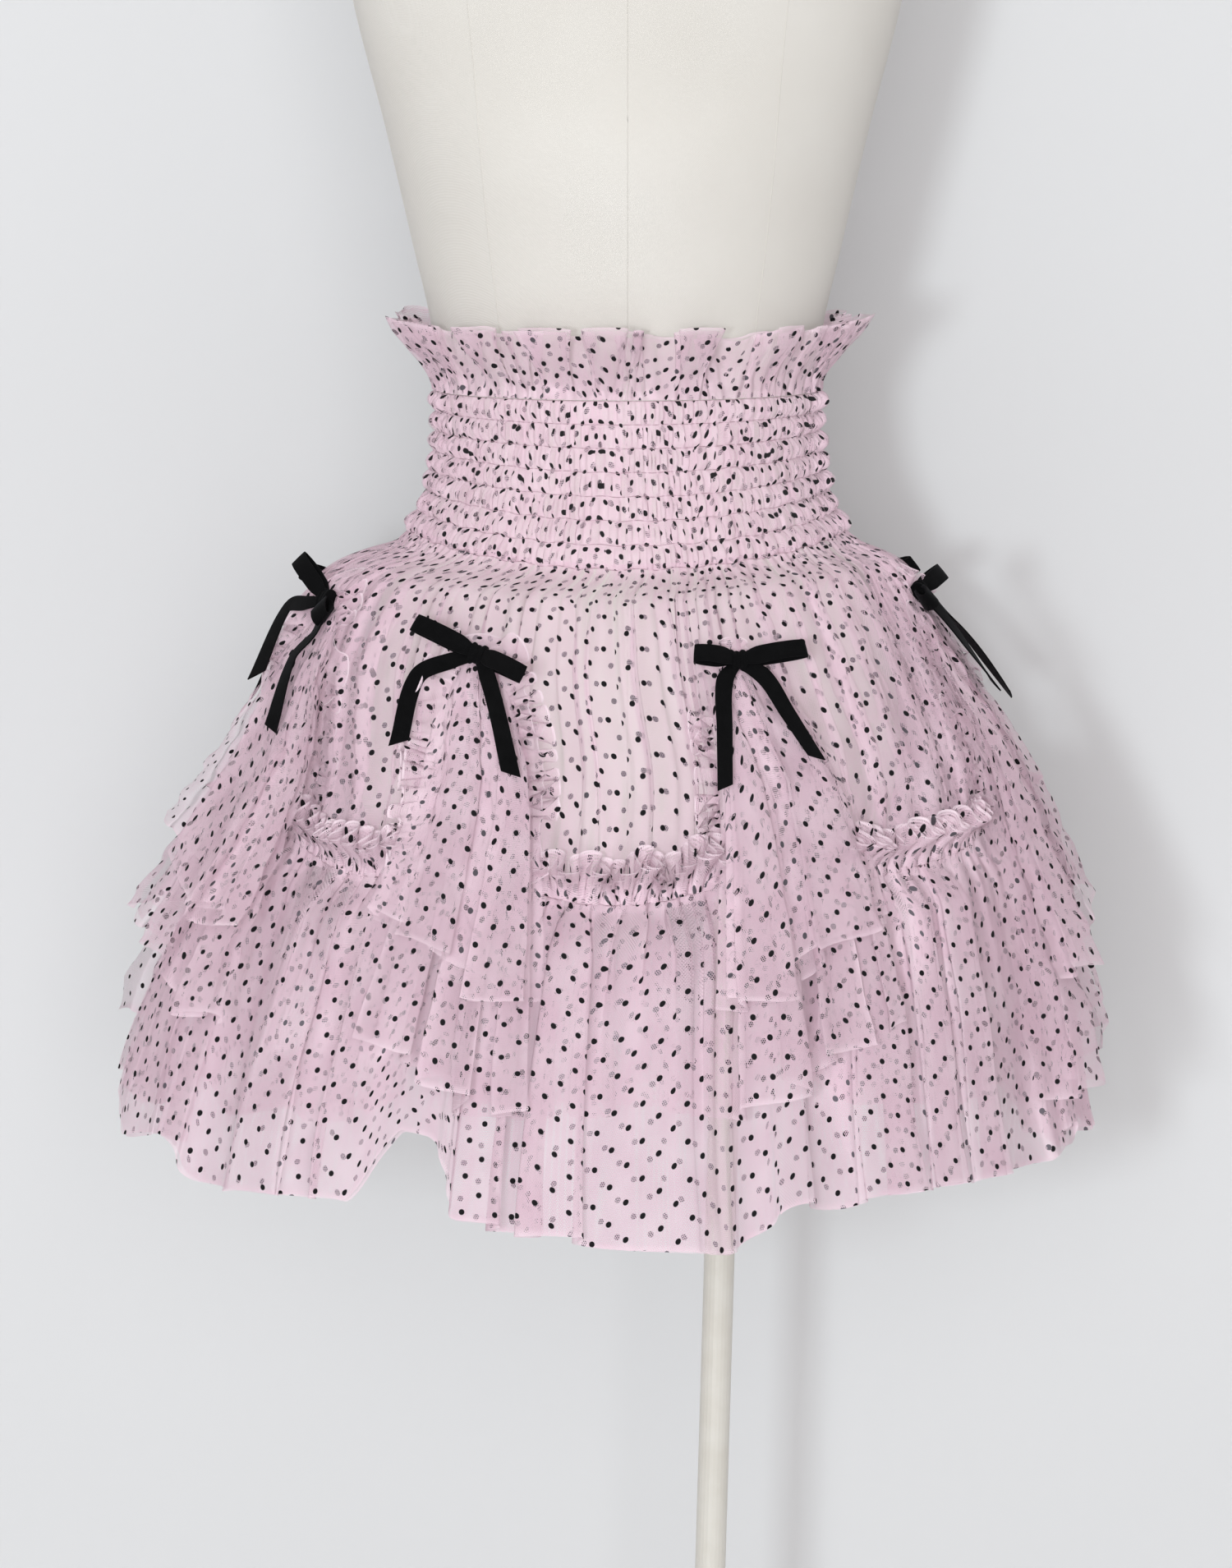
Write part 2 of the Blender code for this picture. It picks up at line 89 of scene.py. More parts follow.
def around(angle, half_width, half_depth, middle, height):
    """Points on level ellipses."""
    phi = np.radians(angle)
    parts = (half_width * np.sin(phi), middle - half_depth * np.cos(phi), height)
    return np.stack(np.broadcast_arrays(*parts), axis=-1)


def unit(vectors):
    """Vectors of length 1: each is divided by its own length."""
    return vectors / np.linalg.norm(vectors, axis=-1, keepdims=True)


print("a smooth step's middle:", ease(0.5, 0, 1))

# %% [markdown]
# ## The form's surface
# A dress form is a padded torso in a linen cover. It could be sculpted, but a table of its sections keeps
# it smooth, and gives the place of any point on it, which the waistband and the seams need.

# %% The form's sections
WAIST_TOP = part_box("waistband")[1][2]
FORM_BOTTOM, FORM_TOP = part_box("form_torso")[0][2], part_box("form_torso")[1][2]

# Sections of the form: height, half width, half depth, y of the middle
FORM = (
    (FORM_BOTTOM, 0.148, 0.104, 0.008),
    (0.860, 0.158, 0.112, 0.008),
    (0.910, 0.150, 0.109, 0.005),
    (0.950, 0.138, 0.102, 0.002),
    (0.977, 0.1255, 0.096, 0.000),
    (1.0015, 0.1135, 0.089, 0.000),
    (1.035, 0.1078, 0.084, 0.000),
    (1.060, 0.1090, 0.084, 0.000),
    (1.097, 0.1125, 0.087, -0.002),
    (1.140, 0.1220, 0.096, -0.007),
    (1.212, 0.1385, 0.112, -0.014),
    (1.289, 0.1580, 0.108, -0.008),
    (1.340, 0.1640, 0.098, 0.000),
    (1.375, 0.1500, 0.083, 0.006),
    (1.405, 0.1080, 0.066, 0.010),
    (1.430, 0.0660, 0.054, 0.012),
    (FORM_TOP, 0.0520, 0.049, 0.012),
)


def form_point(angle, height, out=0.0):
    """A place on the form: the ellipse of its height, made larger all round by out."""
    half_width, half_depth, middle = level(FORM, height)
    return around(angle, half_width + out, half_depth + out, middle, height)


print("waist:", round(2 * level(FORM, 1.035)[0].item(), 3), "m wide")

# %% [markdown]
# ## The skirt's surface
# The skirt stands away from the body because its net is stiff and drawn into many gathers. Its middle
# surface is a table of ellipses too, a bell that is steep at the hips. It hangs a little to the left in
# the photograph, so its lower part and the cloth at the hip are moved. Everything that is sewn to it is
# placed by its angle, its height and how far out it stands, so all layers keep clear of each other.

# %% The skirt's sections
# The skirt's own surface: height, half width, half depth
SKIRT = (
    (0.580, 0.266, 0.235),
    (0.640, 0.257, 0.226),
    (0.700, 0.246, 0.215),
    (0.750, 0.234, 0.203),
    (0.787, 0.224, 0.193),
    (0.810, 0.218, 0.187),
    (0.850, 0.208, 0.176),
    (0.890, 0.197, 0.165),
    (0.920, 0.186, 0.154),
    (0.945, 0.172, 0.140),
    (0.960, 0.159, 0.126),
    (0.972, 0.1335, 0.1040),
)
SWAY = 0.016  # metres that the hem hangs to the left
HIP_SWAY = 0.009  # and that the cloth at the bows does


def skirt_point(angle, height, out=0.0):
    """A place on the skirt: the ellipse of its height plus out, moved left where the cloth sways."""
    half_width, half_depth = level(SKIRT, height)
    points = around(angle, half_width + out, half_depth + out, 0.0, height)
    points[..., 0] -= SWAY * (1 - ease(height, 0.62, 0.88))
    points[..., 0] -= HIP_SWAY * ease(height, 0.84, 0.92) * (1 - ease(height, 0.95, 0.975))
    return points


def skirt_stride(angle, height):
    """Metres along the skirt's surface for each degree."""
    half_width, half_depth = level(SKIRT, height)
    phi = np.radians(angle)
    return np.hypot(half_width * np.cos(phi), half_depth * np.sin(phi)) * math.pi / 180


def slant(height):
    """How much longer a level step off the skirt's surface is than one square to it."""
    run = level(SKIRT, height - 0.004)[1] - level(SKIRT, height + 0.004)[1]
    return np.hypot(1, run / 0.008)


def skirt_frame(angle, height):
    """The ways right, up along the surface and outward, at a place on the skirt."""
    right = skirt_point(angle + 1, height) - skirt_point(angle - 1, height)
    up = skirt_point(angle, height + 0.008) - skirt_point(angle, height - 0.008)
    right, up = unit(right), unit(up)
    return right, up, np.cross(right, up)


print("hem:", round(2 * level(SKIRT, 0.60)[0].item(), 3), "m wide")

# %% [markdown]
# ## Bows, seams and hems
# The flounce is one long strip. Its seam runs round the skirt and climbs to each bow, where the strip is
# drawn up and falls in loose ends. Four bows show in the photograph, and four more at like distances
# finish the hidden side. Each bow's row holds all that its cascade and its ribbon need, so a bow that
# moves takes its cloth along.

# %% The bows, the flounce's seam and the hem
# Bows: name, angle, height, the cascade's drop, how far its hem stands out and swings to the right,
# and how much the flounce's hem rises under it
BOWS = (
    ("front_right", 21.3, 0.917, 0.168, 0.030, 0.015, 0.010),
    ("side_front_right", 78.0, 0.943, 0.197, 0.041, 0.000, 0.012),
    ("side_back_right", 122.0, 0.940, 0.185, 0.038, 0.004, 0.020),
    ("back_right", 157.0, 0.920, 0.172, 0.030, -0.004, 0.030),
    ("back_left", 203.0, 0.918, 0.170, 0.030, 0.006, 0.026),
    ("side_back_left", 241.0, 0.938, 0.178, 0.045, -0.004, 0.022),
    ("side_front_left", 296.5, 0.942, 0.154, 0.052, 0.000, 0.018),
    ("front_left", 337.2, 0.920, 0.170, 0.030, 0.007, 0.045),
)
# The flounce's hem: angle, height
HEM = (
    (0, 0.606),
    (16, 0.598),
    (27, 0.620),
    (45, 0.626),
    (90, 0.625),
    (135, 0.612),
    (180, 0.600),
    (225, 0.610),
    (260, 0.642),
    (270, 0.664),
    (280, 0.655),
    (292, 0.630),
    (312, 0.622),
    (327, 0.624),
    (338, 0.619),
    (360, 0.606),
)
FLOUNCE_SEAM = 0.787
SEAM_RISE = 0.023


def band_bottom(angle):
    """The band's lower edge: a level line that dips at the front and back by a cosine of the angle."""
    return 0.9727 - 0.0072 * np.cos(2 * np.radians(angle))


def bow_values(angle, column):
    """Degrees from each angle to the nearest bow, and that bow's value in a column."""
    away = np.stack([np.abs((angle - bow[1] + 180) % 360 - 180) for bow in BOWS])
    nearest = away.argmin(axis=0)
    return away.min(axis=0), np.array([bow[column] for bow in BOWS])[nearest]


def seam_height(angle):
    """The flounce's seam: level, raised at the sides by a sine squared and a little at each bow."""
    away, _ = bow_values(angle, 1)
    return FLOUNCE_SEAM + SEAM_RISE * np.sin(np.radians(angle)) ** 2 + 0.008 * (1 - ease(away, 4, 20))


def hem_height(angle):
    """The hem: a smooth curve through its table, raised under each bow."""
    away, rise = bow_values(angle, -1)
    return level(HEM, angle % 360)[0] + rise * (1 - ease(away, 1, 8))


front_and_right = np.array([0.0, 90.0])
print("seam:", seam_height(front_and_right).round(3), "hem:", hem_height(front_and_right).round(3))

# %% [markdown]
# ## Uneven folds
# Gathered net falls in folds that never repeat. A cloth simulation could find them, but it gives another
# result in each program. A wave whose phase and strength drift with slower waves has the same uneven
# look, stays where it is put, and can be shared by two layers so that they nest.

# %% Waves, puffed waves and creases
def uneven(turn, count, seed, drift=0.9, swell=0.3):
    """The phase and strength of a wave with about count crests in a turn from 0 to 1, no two alike."""
    rng = np.random.default_rng(seed)
    phase = 2 * math.pi * count * turn
    strength = np.ones_like(turn)
    for harmonic in (2, 3, 5, 8, 13):
        shift, other = rng.uniform(0, 2 * math.pi, 2)
        size = rng.uniform(0.4, 1.0)
        phase = phase + drift * size * np.sin(2 * math.pi * harmonic * turn + shift)
        rise = swell * rng.uniform(0.3, 1.0) / 2
        strength = strength + rise * np.sin(2 * math.pi * (harmonic + 2) * turn + other)
    return phase, strength


def puffed(phase):
    """A wave from 1 to -1 with broad round crests between narrow valleys."""
    return 1 - 2 * ((1 - np.cos(phase)) / 2) ** 2.2


def crumple(x, y, seed, size=0.0006, longest=0.035):
    """Small creases: crossing ripples of many lengths, in metres."""
    rng = np.random.default_rng(seed)
    total = np.zeros(np.broadcast(x, y).shape)
    for _ in range(16):
        length = longest * rng.uniform(0.22, 1.0)
        way = rng.uniform(0, math.pi)
        wave = np.sin(2 * math.pi * (x * math.cos(way) + y * math.sin(way)) / length + rng.uniform(0, 6.3))
        total += wave * length / longest
    return size * total / 2


print("a puffed wave's crest and valley:", puffed(0.0), puffed(math.pi))

# %% [markdown]
# ## Meshes from grids
# Every cloth layer is a grid of points worked out as whole arrays. Blender's mesh tools would do for a few
# faces, but a fold needs thousands, so foreach_set hands the arrays over at once. A face looks outwards
# where its corners run down first and then towards greater angles. A tube is the same grid, joined along
# one side, and its ends are closed with strips.

# %% Grids, meshes and pieces
def new_mesh(name, vertices, faces):
    """A mesh from arrays of points and of four-cornered faces."""
    mesh = bpy.data.meshes.new(name)
    mesh.vertices.add(len(vertices))
    mesh.vertices.foreach_set("co", vertices.astype(np.float32).ravel())
    mesh.loops.add(faces.size)
    mesh.loops.foreach_set("vertex_index", faces.astype(np.int32).ravel())
    mesh.polygons.add(len(faces))
    mesh.polygons.foreach_set("loop_start", np.arange(0, faces.size, 4, dtype=np.int32))
    mesh.update(calc_edges=True)
    mesh.shade_smooth()
    return mesh


def grid_faces(rows, columns, ring):
    """Faces over a grid of rows and columns of points. A ring's last column joins its first."""
    last = columns if ring else columns - 1
    down, along = np.meshgrid(np.arange(rows - 1), np.arange(last), indexing="ij")
    after = (along + 1) % columns
    corners = (down * columns + along, (down + 1) * columns + along,
               (down + 1) * columns + after, down * columns + after)
    return np.stack([corner.ravel() for corner in corners], axis=1)


def add_piece(name, mesh, look, nodes=()):
    """Puts a mesh in the scene with its look, on the fixed body, for the solids that it replaces."""
    piece = bpy.data.objects.new(name, mesh)
    bpy.context.scene.collection.objects.link(piece)
    mesh.materials.append(look)
    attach(piece, "root")
    if nodes:
        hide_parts(*nodes)
    return piece


# %% Tubes and closed ends
def cap_faces(ring):
    """Faces that close an even ring of points, in strips from side to side."""
    i = np.arange(len(ring) // 2 - 1)
    return np.stack([ring[i], ring[i + 1], ring[-2 - i], ring[-1 - i]], axis=1)


def barrel_faces(rows, columns):
    """Faces of a tube whose rows of points run round it, capped at both ends."""
    first = np.arange(columns)
    return np.concatenate([grid_faces(rows, columns, True), cap_faces(first),
                           cap_faces(first[::-1] + (rows - 1) * columns)])


def tube_faces(around_count, along_count, ring):
    """Faces of a tube whose rows of points run along it, joined into a ring or capped at both ends."""
    faces = grid_faces(around_count, along_count, ring)
    seam = grid_faces(2, along_count, ring)
    seam = np.where(seam < along_count, seam + (around_count - 1) * along_count, seam - along_count)
    start = np.arange(around_count) * along_count
    caps = [] if ring else [cap_faces(start[::-1]), cap_faces(start + along_count - 1)]
    return np.concatenate([faces, seam, *caps])


print("faces of a short capped tube:", len(tube_faces(6, 10, False)))

# %% [markdown]
# ## Sheets of cloth
# Cloth is cut flat and then gathered. The sheet's cut map is that flat cut in metres, worked out from the
# lengths along its widest row and down its columns. The folds that are too small for the mesh take up
# cloth as well, so the map is stretched in a few places, and the dots crowd there as in real gathers.

# %% Sheets
CUT_EDGE = 0.0009  # width of a row along a raw edge


def add_cloth(name, points, look, nodes, tucks, ring=False, edges=(0, 0), inside=False):
    """A thin sheet through rows of points, with its flat cut as a UV map in metres. Its attributes hold how
    narrow its gathers make it and how plainly its first and last rows show as cut edges, from 0 to 1:
    there the net's holes close and its colour pales as a painted highlight.
    tucks has the count, the cloth in metres and the seed of the small folds that the mesh leaves out."""
    rows, columns = points.shape[:2]
    closing = np.concatenate([points, points[:, :1]], axis=1) if ring else points
    steps = np.linalg.norm(np.diff(closing, axis=1), axis=2)
    widest = steps.sum(axis=1).argmax()
    count, taken, seed = tucks
    folds, _ = uneven(np.linspace(0, 1, columns + 1 if ring else columns), count, seed, drift=0.8)
    across = np.concatenate([[0], np.cumsum(steps[widest])])
    across = across + taken * (folds - np.sin(folds) * 0.9) / (2 * math.pi)
    across = across - across.min()
    falls = np.linalg.norm(np.diff(points, axis=0), axis=2).mean(axis=1)
    down = np.concatenate([[0], np.cumsum(falls)])
    bias = 0.008 * np.sin(across / 0.061 + seed) + 0.006 * np.sin(across / 0.027 + 2 * seed)

    faces = grid_faces(rows, columns, ring)
    mesh = new_mesh(name, points.reshape(-1, 3), faces)
    cut = mesh.uv_layers.new(name="cut")
    row, column = np.divmod(faces, columns)
    turned = ring & (column == 0) & (faces[:, :1] % columns == columns - 1)
    place = np.where(turned, len(across) - 1, column)
    flat = np.stack([across[place], down[row] + bias[place]], axis=2)
    cut.data.foreach_set("uv", flat.astype(np.float32).ravel())

    narrow = np.clip(steps / np.maximum(np.diff(across), 1e-6), 0.12, 2.5)
    if not ring:
        narrow = np.concatenate([narrow, narrow[:, -1:]], axis=1)
    gather = mesh.attributes.new("gather", "FLOAT", "POINT")
    gather.data.foreach_set("value", narrow.astype(np.float32).ravel())
    near_edge = np.zeros((rows, columns))
    near_edge[:2], near_edge[-2:] = edges
    edge = mesh.attributes.new("edge", "FLOAT", "POINT")
    edge.data.foreach_set("value", near_edge.astype(np.float32).ravel())

    piece = add_piece(name, mesh, look, nodes)
    piece.visible_shadow = piece.visible_diffuse = not inside
    return piece


# %% Threads
def add_tube(name, path, radius, look, sides=6, ring=False, nodes=()):
    """A round thread or wire along points."""
    path = np.asarray(path)
    run = np.roll(path, -1, axis=0) - np.roll(path, 1, axis=0) if ring else np.gradient(path, axis=0)
    run = unit(run)
    level_way = np.cross(run, (0.0, 0.0, 1.0))
    first = unit(level_way + 1e-9)
    second = np.cross(run, first)
    theta = np.linspace(0, 2 * math.pi, sides, endpoint=False)
    away = np.cos(theta)[:, None] * first[:, None] + np.sin(theta)[:, None] * second[:, None]
    rings = path[:, None] + radius * away
    points = rings.transpose(1, 0, 2)
    mesh = new_mesh(name, points.reshape(-1, 3), tube_faces(sides, len(path), ring))
    return add_piece(name, mesh, look, nodes)


# %% [markdown]
# ## Sums in a material
# A material is a graph of nodes, and a graph of forty Math nodes is hard to read. It could be drawn by hand
# in the shader editor, or be written as Python sums. Here a small class wraps a socket, so that an ordinary
# expression such as 1 - mask adds the node that it names, and one function makes every other node.

# %% Sums and nodes
class Sum:
    """A socket's value in a material. Each sum that is written with it adds one Math node."""

    def __init__(self, look, socket):
        self.look, self.socket = look, socket

    def step(self, operation, *others):
        return maths(operation, self, *others)

    def __add__(self, other):
        return maths("ADD", self, other)

    def __sub__(self, other):
        return maths("SUBTRACT", self, other)

    def __rsub__(self, other):
        return maths("SUBTRACT", other, self)

    def __mul__(self, other):
        return maths("MULTIPLY", self, other)

    def __truediv__(self, other):
        return maths("DIVIDE", self, other)

    __radd__, __rmul__ = __add__, __mul__

    def fade(self, start, end):
        """0 before start, 1 past end, or the other way round where end is less."""
        values = enumerate((self, start, end, 0.0, 1.0))
        node = add_node(self.look, "ShaderNodeMapRange", values, interpolation_type="SMOOTHSTEP")
        return Sum(self.look, node.outputs[0])


def maths(operation, *values):
    """One Math node on values and numbers, in the material of the first value."""
    look = next(value.look for value in values if isinstance(value, Sum))
    return Sum(look, add_node(look, "ShaderNodeMath", enumerate(values), operation=operation).outputs[0])


def feed(look, node, inputs):
    """Sets a node's sockets, by name or number. A value or a socket is linked, and a number is set."""
    for key, value in dict(inputs).items():
        value = value.socket if isinstance(value, Sum) else value
        if isinstance(value, bpy.types.NodeSocket):
            look.node_tree.links.new(value, node.inputs[key])
        else:
            node.inputs[key].default_value = value


def add_node(look, kind, inputs=(), **settings):
    """A node of a kind, with its settings made first and its sockets fed after them."""
    node = look.node_tree.nodes.new(kind)
    for key, value in settings.items():
        setattr(node, key, value)
    feed(look, node, inputs)
    return node


# %% Looks, blends, mottling and relief
def new_look(name, inputs):
    """A material and its Principled node."""
    look = bpy.data.materials.new(name)
    look.use_nodes = True
    surface = look.node_tree.nodes["Principled BSDF"]
    feed(look, surface, inputs)
    return look, surface


def blend_colours(look, factor, first, second):
    """The colour that lies factor of the way from the first to the second."""
    first, second = [(*colour, 1) if isinstance(colour, tuple) else colour for colour in (first, second)]
    return add_node(look, "ShaderNodeMix", {0: factor, 6: first, 7: second}, data_type="RGBA").outputs[2]


def object_place(look):
    """The place on a piece in metres, which stays with the piece."""
    return add_node(look, "ShaderNodeTexCoord").outputs["Object"]


def noise(look, place, scale, detail=3.0):
    """Cloudy mottling, with scale clouds to the metre."""
    node = add_node(look, "ShaderNodeTexNoise", {"Vector": place, "Scale": scale, "Detail": detail})
    return Sum(look, node.outputs["Fac"])


def relief(look, height, distance, strength):
    """Small relief: the surface's normal leans with the slope of height times distance."""
    inputs = {"Strength": strength, "Distance": distance, "Height": height}
    return add_node(look, "ShaderNodeBump", inputs).outputs[0]


# %% [markdown]
# ## Dotted net
# Real tulle is a mesh of hexagons about a millimetre wide, with flocked dots in staggered rows. Modelling
# the threads would take millions of faces, and a picture of them would blur when seen closely. Here the
# cut map, which is in metres, is measured against two staggered lattices: a fine one for holes and a wide
# one for dots. Alpha is the threads or the dots, so light and shadow pass through the real holes. Gathers
# squeeze the dots sideways and close the holes, which the gather attribute gives, and the doubled cloth's
# inner layer has greyer dots, because the outer one veils them.

# %% The net
# The third colour is a paler pink that the net blends to along raw edges: a painted highlight for the light
# that edge-on folds catch.
NET, NET_SHADE, NET_EDGE_HIGHLIGHT = (0.94, 0.725, 0.815), (0.89, 0.645, 0.75), (0.97, 0.85, 0.90)
DOT_PITCH = 0.0201
DOT_RADIUS = 0.00165
DOT_SOFTNESS = 0.00016
HOLE_PITCH = 0.00115
HOLE_SOFTNESS = 0.00004
THREAD_ALPHA = 0.94


def lattice(u, v, pitch_u, pitch_v, narrow):
    """Metres to the nearest point of a lattice of two crossed grids, as the gathered cloth shows it."""
    nearest = None
    for shift in (0.0, 0.5):
        across = ((u / pitch_u + shift).step("FRACT") - 0.5) * pitch_u * narrow
        down = ((v / pitch_v + shift).step("FRACT") - 0.5) * pitch_v
        away = (across * across + down * down).step("SQRT")
        nearest = away if nearest is None else nearest.step("MINIMUM", away)
    return nearest


def tulle_look(name, hole, gloss=0.2, shift=(0.0, 0.0), ink=0.010):
    """Net with flocked dots. hole is the radius of the net's holes where the cloth lies flat, shift moves
    the dots by metres, and ink is how pale they are."""
    look, surface = new_look(name, {"Roughness": 0.7, "Specular IOR Level": gloss})
    cut = add_node(look, "ShaderNodeUVMap", uv_map="cut").outputs[0]
    split = add_node(look, "ShaderNodeSeparateXYZ", {0: cut})
    u = Sum(look, split.outputs[0]) + (10 + shift[0])
    v = Sum(look, split.outputs[1]) + (10 + shift[1])
    gather, edge = [Sum(look, add_node(look, "ShaderNodeAttribute", attribute_name=word).outputs["Fac"])
                    for word in ("gather", "edge")]
    away = lattice(u, v, DOT_PITCH, DOT_PITCH, gather.step("POWER", 0.9))
    dot = away.fade(DOT_RADIUS + DOT_SOFTNESS, DOT_RADIUS - DOT_SOFTNESS)
    from_hole = lattice(u, v, HOLE_PITCH, HOLE_PITCH * math.sqrt(3), 1.0)
    rim = gather.step("POWER", 0.3) * (1 - 0.6 * edge) * hole
    threads = from_hole.fade(rim - HOLE_SOFTNESS, rim + HOLE_SOFTNESS)
    pink = blend_colours(look, noise(look, cut, 38.0, 2.0).fade(0.35, 0.65), NET, NET_SHADE)
    # Painted highlight: towards its raw edges the net's colour is blended to a paler pink.
    pink = blend_colours(look, 0.5 * edge, pink, NET_EDGE_HIGHLIGHT)
    feed(look, surface, {
        "Base Color": blend_colours(look, dot, pink, (ink, 0.9 * ink, 1.05 * ink)),
        "Alpha": (THREAD_ALPHA * threads).step("MAXIMUM", dot),
        "Roughness": 0.68 + 0.25 * dot,
        "Normal": relief(look, dot + 0.25 * threads, 0.00025, 0.6),
    })
    return look


outer_net = tulle_look("tulle_outer", 0.00053)
inner_net = tulle_look("tulle_inner", 0.00049, shift=(0.0073, 0.0051), ink=0.10)
flounce_net = tulle_look("tulle_flounce", 0.00047)
flounce_inner = tulle_look("tulle_flounce_inner", 0.00044, shift=(0.0051, 0.0068), ink=0.16)
band_net = tulle_look("tulle_band", 0.00050, gloss=0.5)
band_lining = tulle_look("tulle_band_inner", 0.00044, shift=(0.0081, 0.0037), ink=0.06)
print("dots:", 2000 * DOT_RADIUS, "mm wide,", 1000 * DOT_PITCH, "mm apart")

# %% [markdown]
# ## Velvet, linen, paint and thread
# Velvet ribbon is nearly black, with a pile that scatters a little light at its edges: a very dark colour
# with a trace of sheen. The form's linen cover is a plain weave, which two crossed sine waves give, with
# uneven slubs from noise. The stand is smooth brushed paint, so only its gloss varies. Each finish could
# be a picture wrapped round the piece, but sums on the place in metres have no seams and no stretch.

# %% The other finishes
def velvet_look():
    """Black pile: fine noise for the pile and broad noise for how it was brushed."""
    look, surface = new_look("velvet", {
        "Roughness": 0.95, "Base Color": (0.006, 0.006, 0.007, 1), "Specular IOR Level": 0.15,
        "Sheen Weight": 0.05, "Sheen Roughness": 0.35, "Sheen Tint": (0.55, 0.55, 0.62, 1),
    })
    place = object_place(look)
    pile = noise(look, place, 2600.0, 2.0)
    tone = (0.6 * pile + 0.4 * noise(look, place, 130.0)).fade(0.35, 0.7)
    feed(look, surface, {
        "Base Color": blend_colours(look, tone, (0.0008, 0.0008, 0.0012), (0.0035, 0.0035, 0.0040)),
        "Normal": relief(look, pile, 0.0002, 0.5),
    })
    return look


def linen_look():
    """Plain weave: the product of a sine wave across and one up, both pushed along by slubs."""
    look, surface = new_look("linen", {"Roughness": 0.9, "Specular IOR Level": 0.2, "Sheen Weight": 0.12})
    place = object_place(look)
    split = add_node(look, "ShaderNodeSeparateXYZ", {0: place})
    across = Sum(look, split.outputs[0]) + Sum(look, split.outputs[1])
    height = Sum(look, split.outputs[2])
    slub = noise(look, place, 45.0)
    thread_wave = 2 * math.pi / 0.0009
    warp = (thread_wave * across + 2.5 * slub).step("SINE")
    weft = (thread_wave * height + 3.0 * slub).step("SINE")
    weave = 0.5 * (warp * weft) + 0.5
    tone = (0.35 * weave + 0.65 * noise(look, place, 9.0)).fade(0.3, 0.7)
    feed(look, surface, {"Base Color": blend_colours(look, tone, (0.74, 0.705, 0.655), (0.80, 0.77, 0.725)),
                         "Normal": relief(look, weave + 0.4 * slub, 0.0002, 0.5)})
    return look


def paint_look():
    """Cream paint: its tone and roughness follow one mottling."""
    look, surface = new_look("cream_paint", {"Roughness": 0.32})
    place = object_place(look)
    mottle = noise(look, place, 60.0)
    feed(look, surface, {
        "Base Color": blend_colours(look, mottle.fade(0.3, 0.7), (0.70, 0.665, 0.60), (0.74, 0.71, 0.65)),
        "Roughness": 0.26 + 0.14 * mottle,
        "Normal": relief(look, noise(look, place, 420.0), 0.0002, 0.15),
    })
    return look


def thread_look():
    """Pink thread: lighter and darker where it twists."""
    look, surface = new_look("sewing_thread", {"Roughness": 0.6})
    twist = noise(look, object_place(look), 900.0).fade(0.3, 0.7)
    feed(look, surface, {"Base Color": blend_colours(look, twist, (0.42, 0.25, 0.31), (0.62, 0.44, 0.50))})
    return look


velvet, linen, paint, thread = velvet_look(), linen_look(), paint_look(), thread_look()
print("finishes:", *(look.name for look in bpy.data.materials))

# %% [markdown]
# ## Camera, light and room
# The photograph is taken from a little above the skirt with a long lens, which keeps the sides of the form
# nearly straight, so the camera stands 5 m away and looks 7 degrees down. A small lamp gives the crisp
# shadow on the wall close behind, and a large one and an even surround give the soft light on the cloth.
# The studio is set up first, because every piece is judged in its light.

# %% The camera
PHOTO_HEIGHT = 1909
PIXELS_PER_METRE = 2100
CAMERA_DISTANCE, CAMERA_PITCH = 5.0, math.radians(7)
CAMERA_MIDDLE = (-0.0065, 0.831)  # x and height of the picture's middle


def add_camera():
    """The lens is the sensor's height over the frame's height in metres, times the distance."""
    data = bpy.data.cameras.new("camera")
    data.sensor_width = 36
    data.lens = data.sensor_width * PIXELS_PER_METRE * CAMERA_DISTANCE / PHOTO_HEIGHT
    camera = bpy.data.objects.new("camera", data)
    x, height = CAMERA_MIDDLE
    camera.location = (x, -CAMERA_DISTANCE * math.cos(CAMERA_PITCH),
                       height + CAMERA_DISTANCE * math.sin(CAMERA_PITCH))
    camera.rotation_euler = (math.pi / 2 - CAMERA_PITCH, 0, 0)
    bpy.context.scene.collection.objects.link(camera)
    bpy.context.scene.camera = camera
    print("lens:", round(data.lens, 1), "mm")


add_camera()

# %% The wall and the floor
def add_stage(name, corners, look):
    """A flat face of the room."""
    mesh = new_mesh(name, np.array(corners, dtype=float), np.array([[0, 1, 2, 3]]))
    mesh.materials.append(look)
    piece = bpy.data.objects.new(name, mesh)
    bpy.context.scene.collection.objects.link(piece)


def wall_look():
    """Matt paint in front, and clear from behind, so that the room can be looked into."""
    look, surface = new_look("wall_paint", {"Roughness": 0.9})
    place = object_place(look)
    tone = noise(look, place, 1.3).fade(0.3, 0.7)
    feed(look, surface, {"Base Color": blend_colours(look, tone, (0.81, 0.81, 0.82), (0.83, 0.83, 0.84)),
                         "Normal": relief(look, noise(look, place, 260.0), 0.0004, 0.10)})
    side = add_node(look, "ShaderNodeNewGeometry").outputs["Backfacing"]
    clear = add_node(look, "ShaderNodeBsdfTransparent").outputs[0]
    mix = add_node(look, "ShaderNodeMixShader", {0: side, 1: surface.outputs[0], 2: clear})
    output = next(node for node in look.node_tree.nodes if node.type == "OUTPUT_MATERIAL")
    feed(look, output, {"Surface": mix.outputs[0]})
    return look


def floor_look():
    """Pale matt paint with broad, faint mottling."""
    look, surface = new_look("floor_paint", {"Roughness": 0.85})
    tone = noise(look, object_place(look), 2.0).fade(0.3, 0.7)
    feed(look, surface, {"Base Color": blend_colours(look, tone, (0.78, 0.77, 0.78), (0.81, 0.80, 0.81))})
    return look


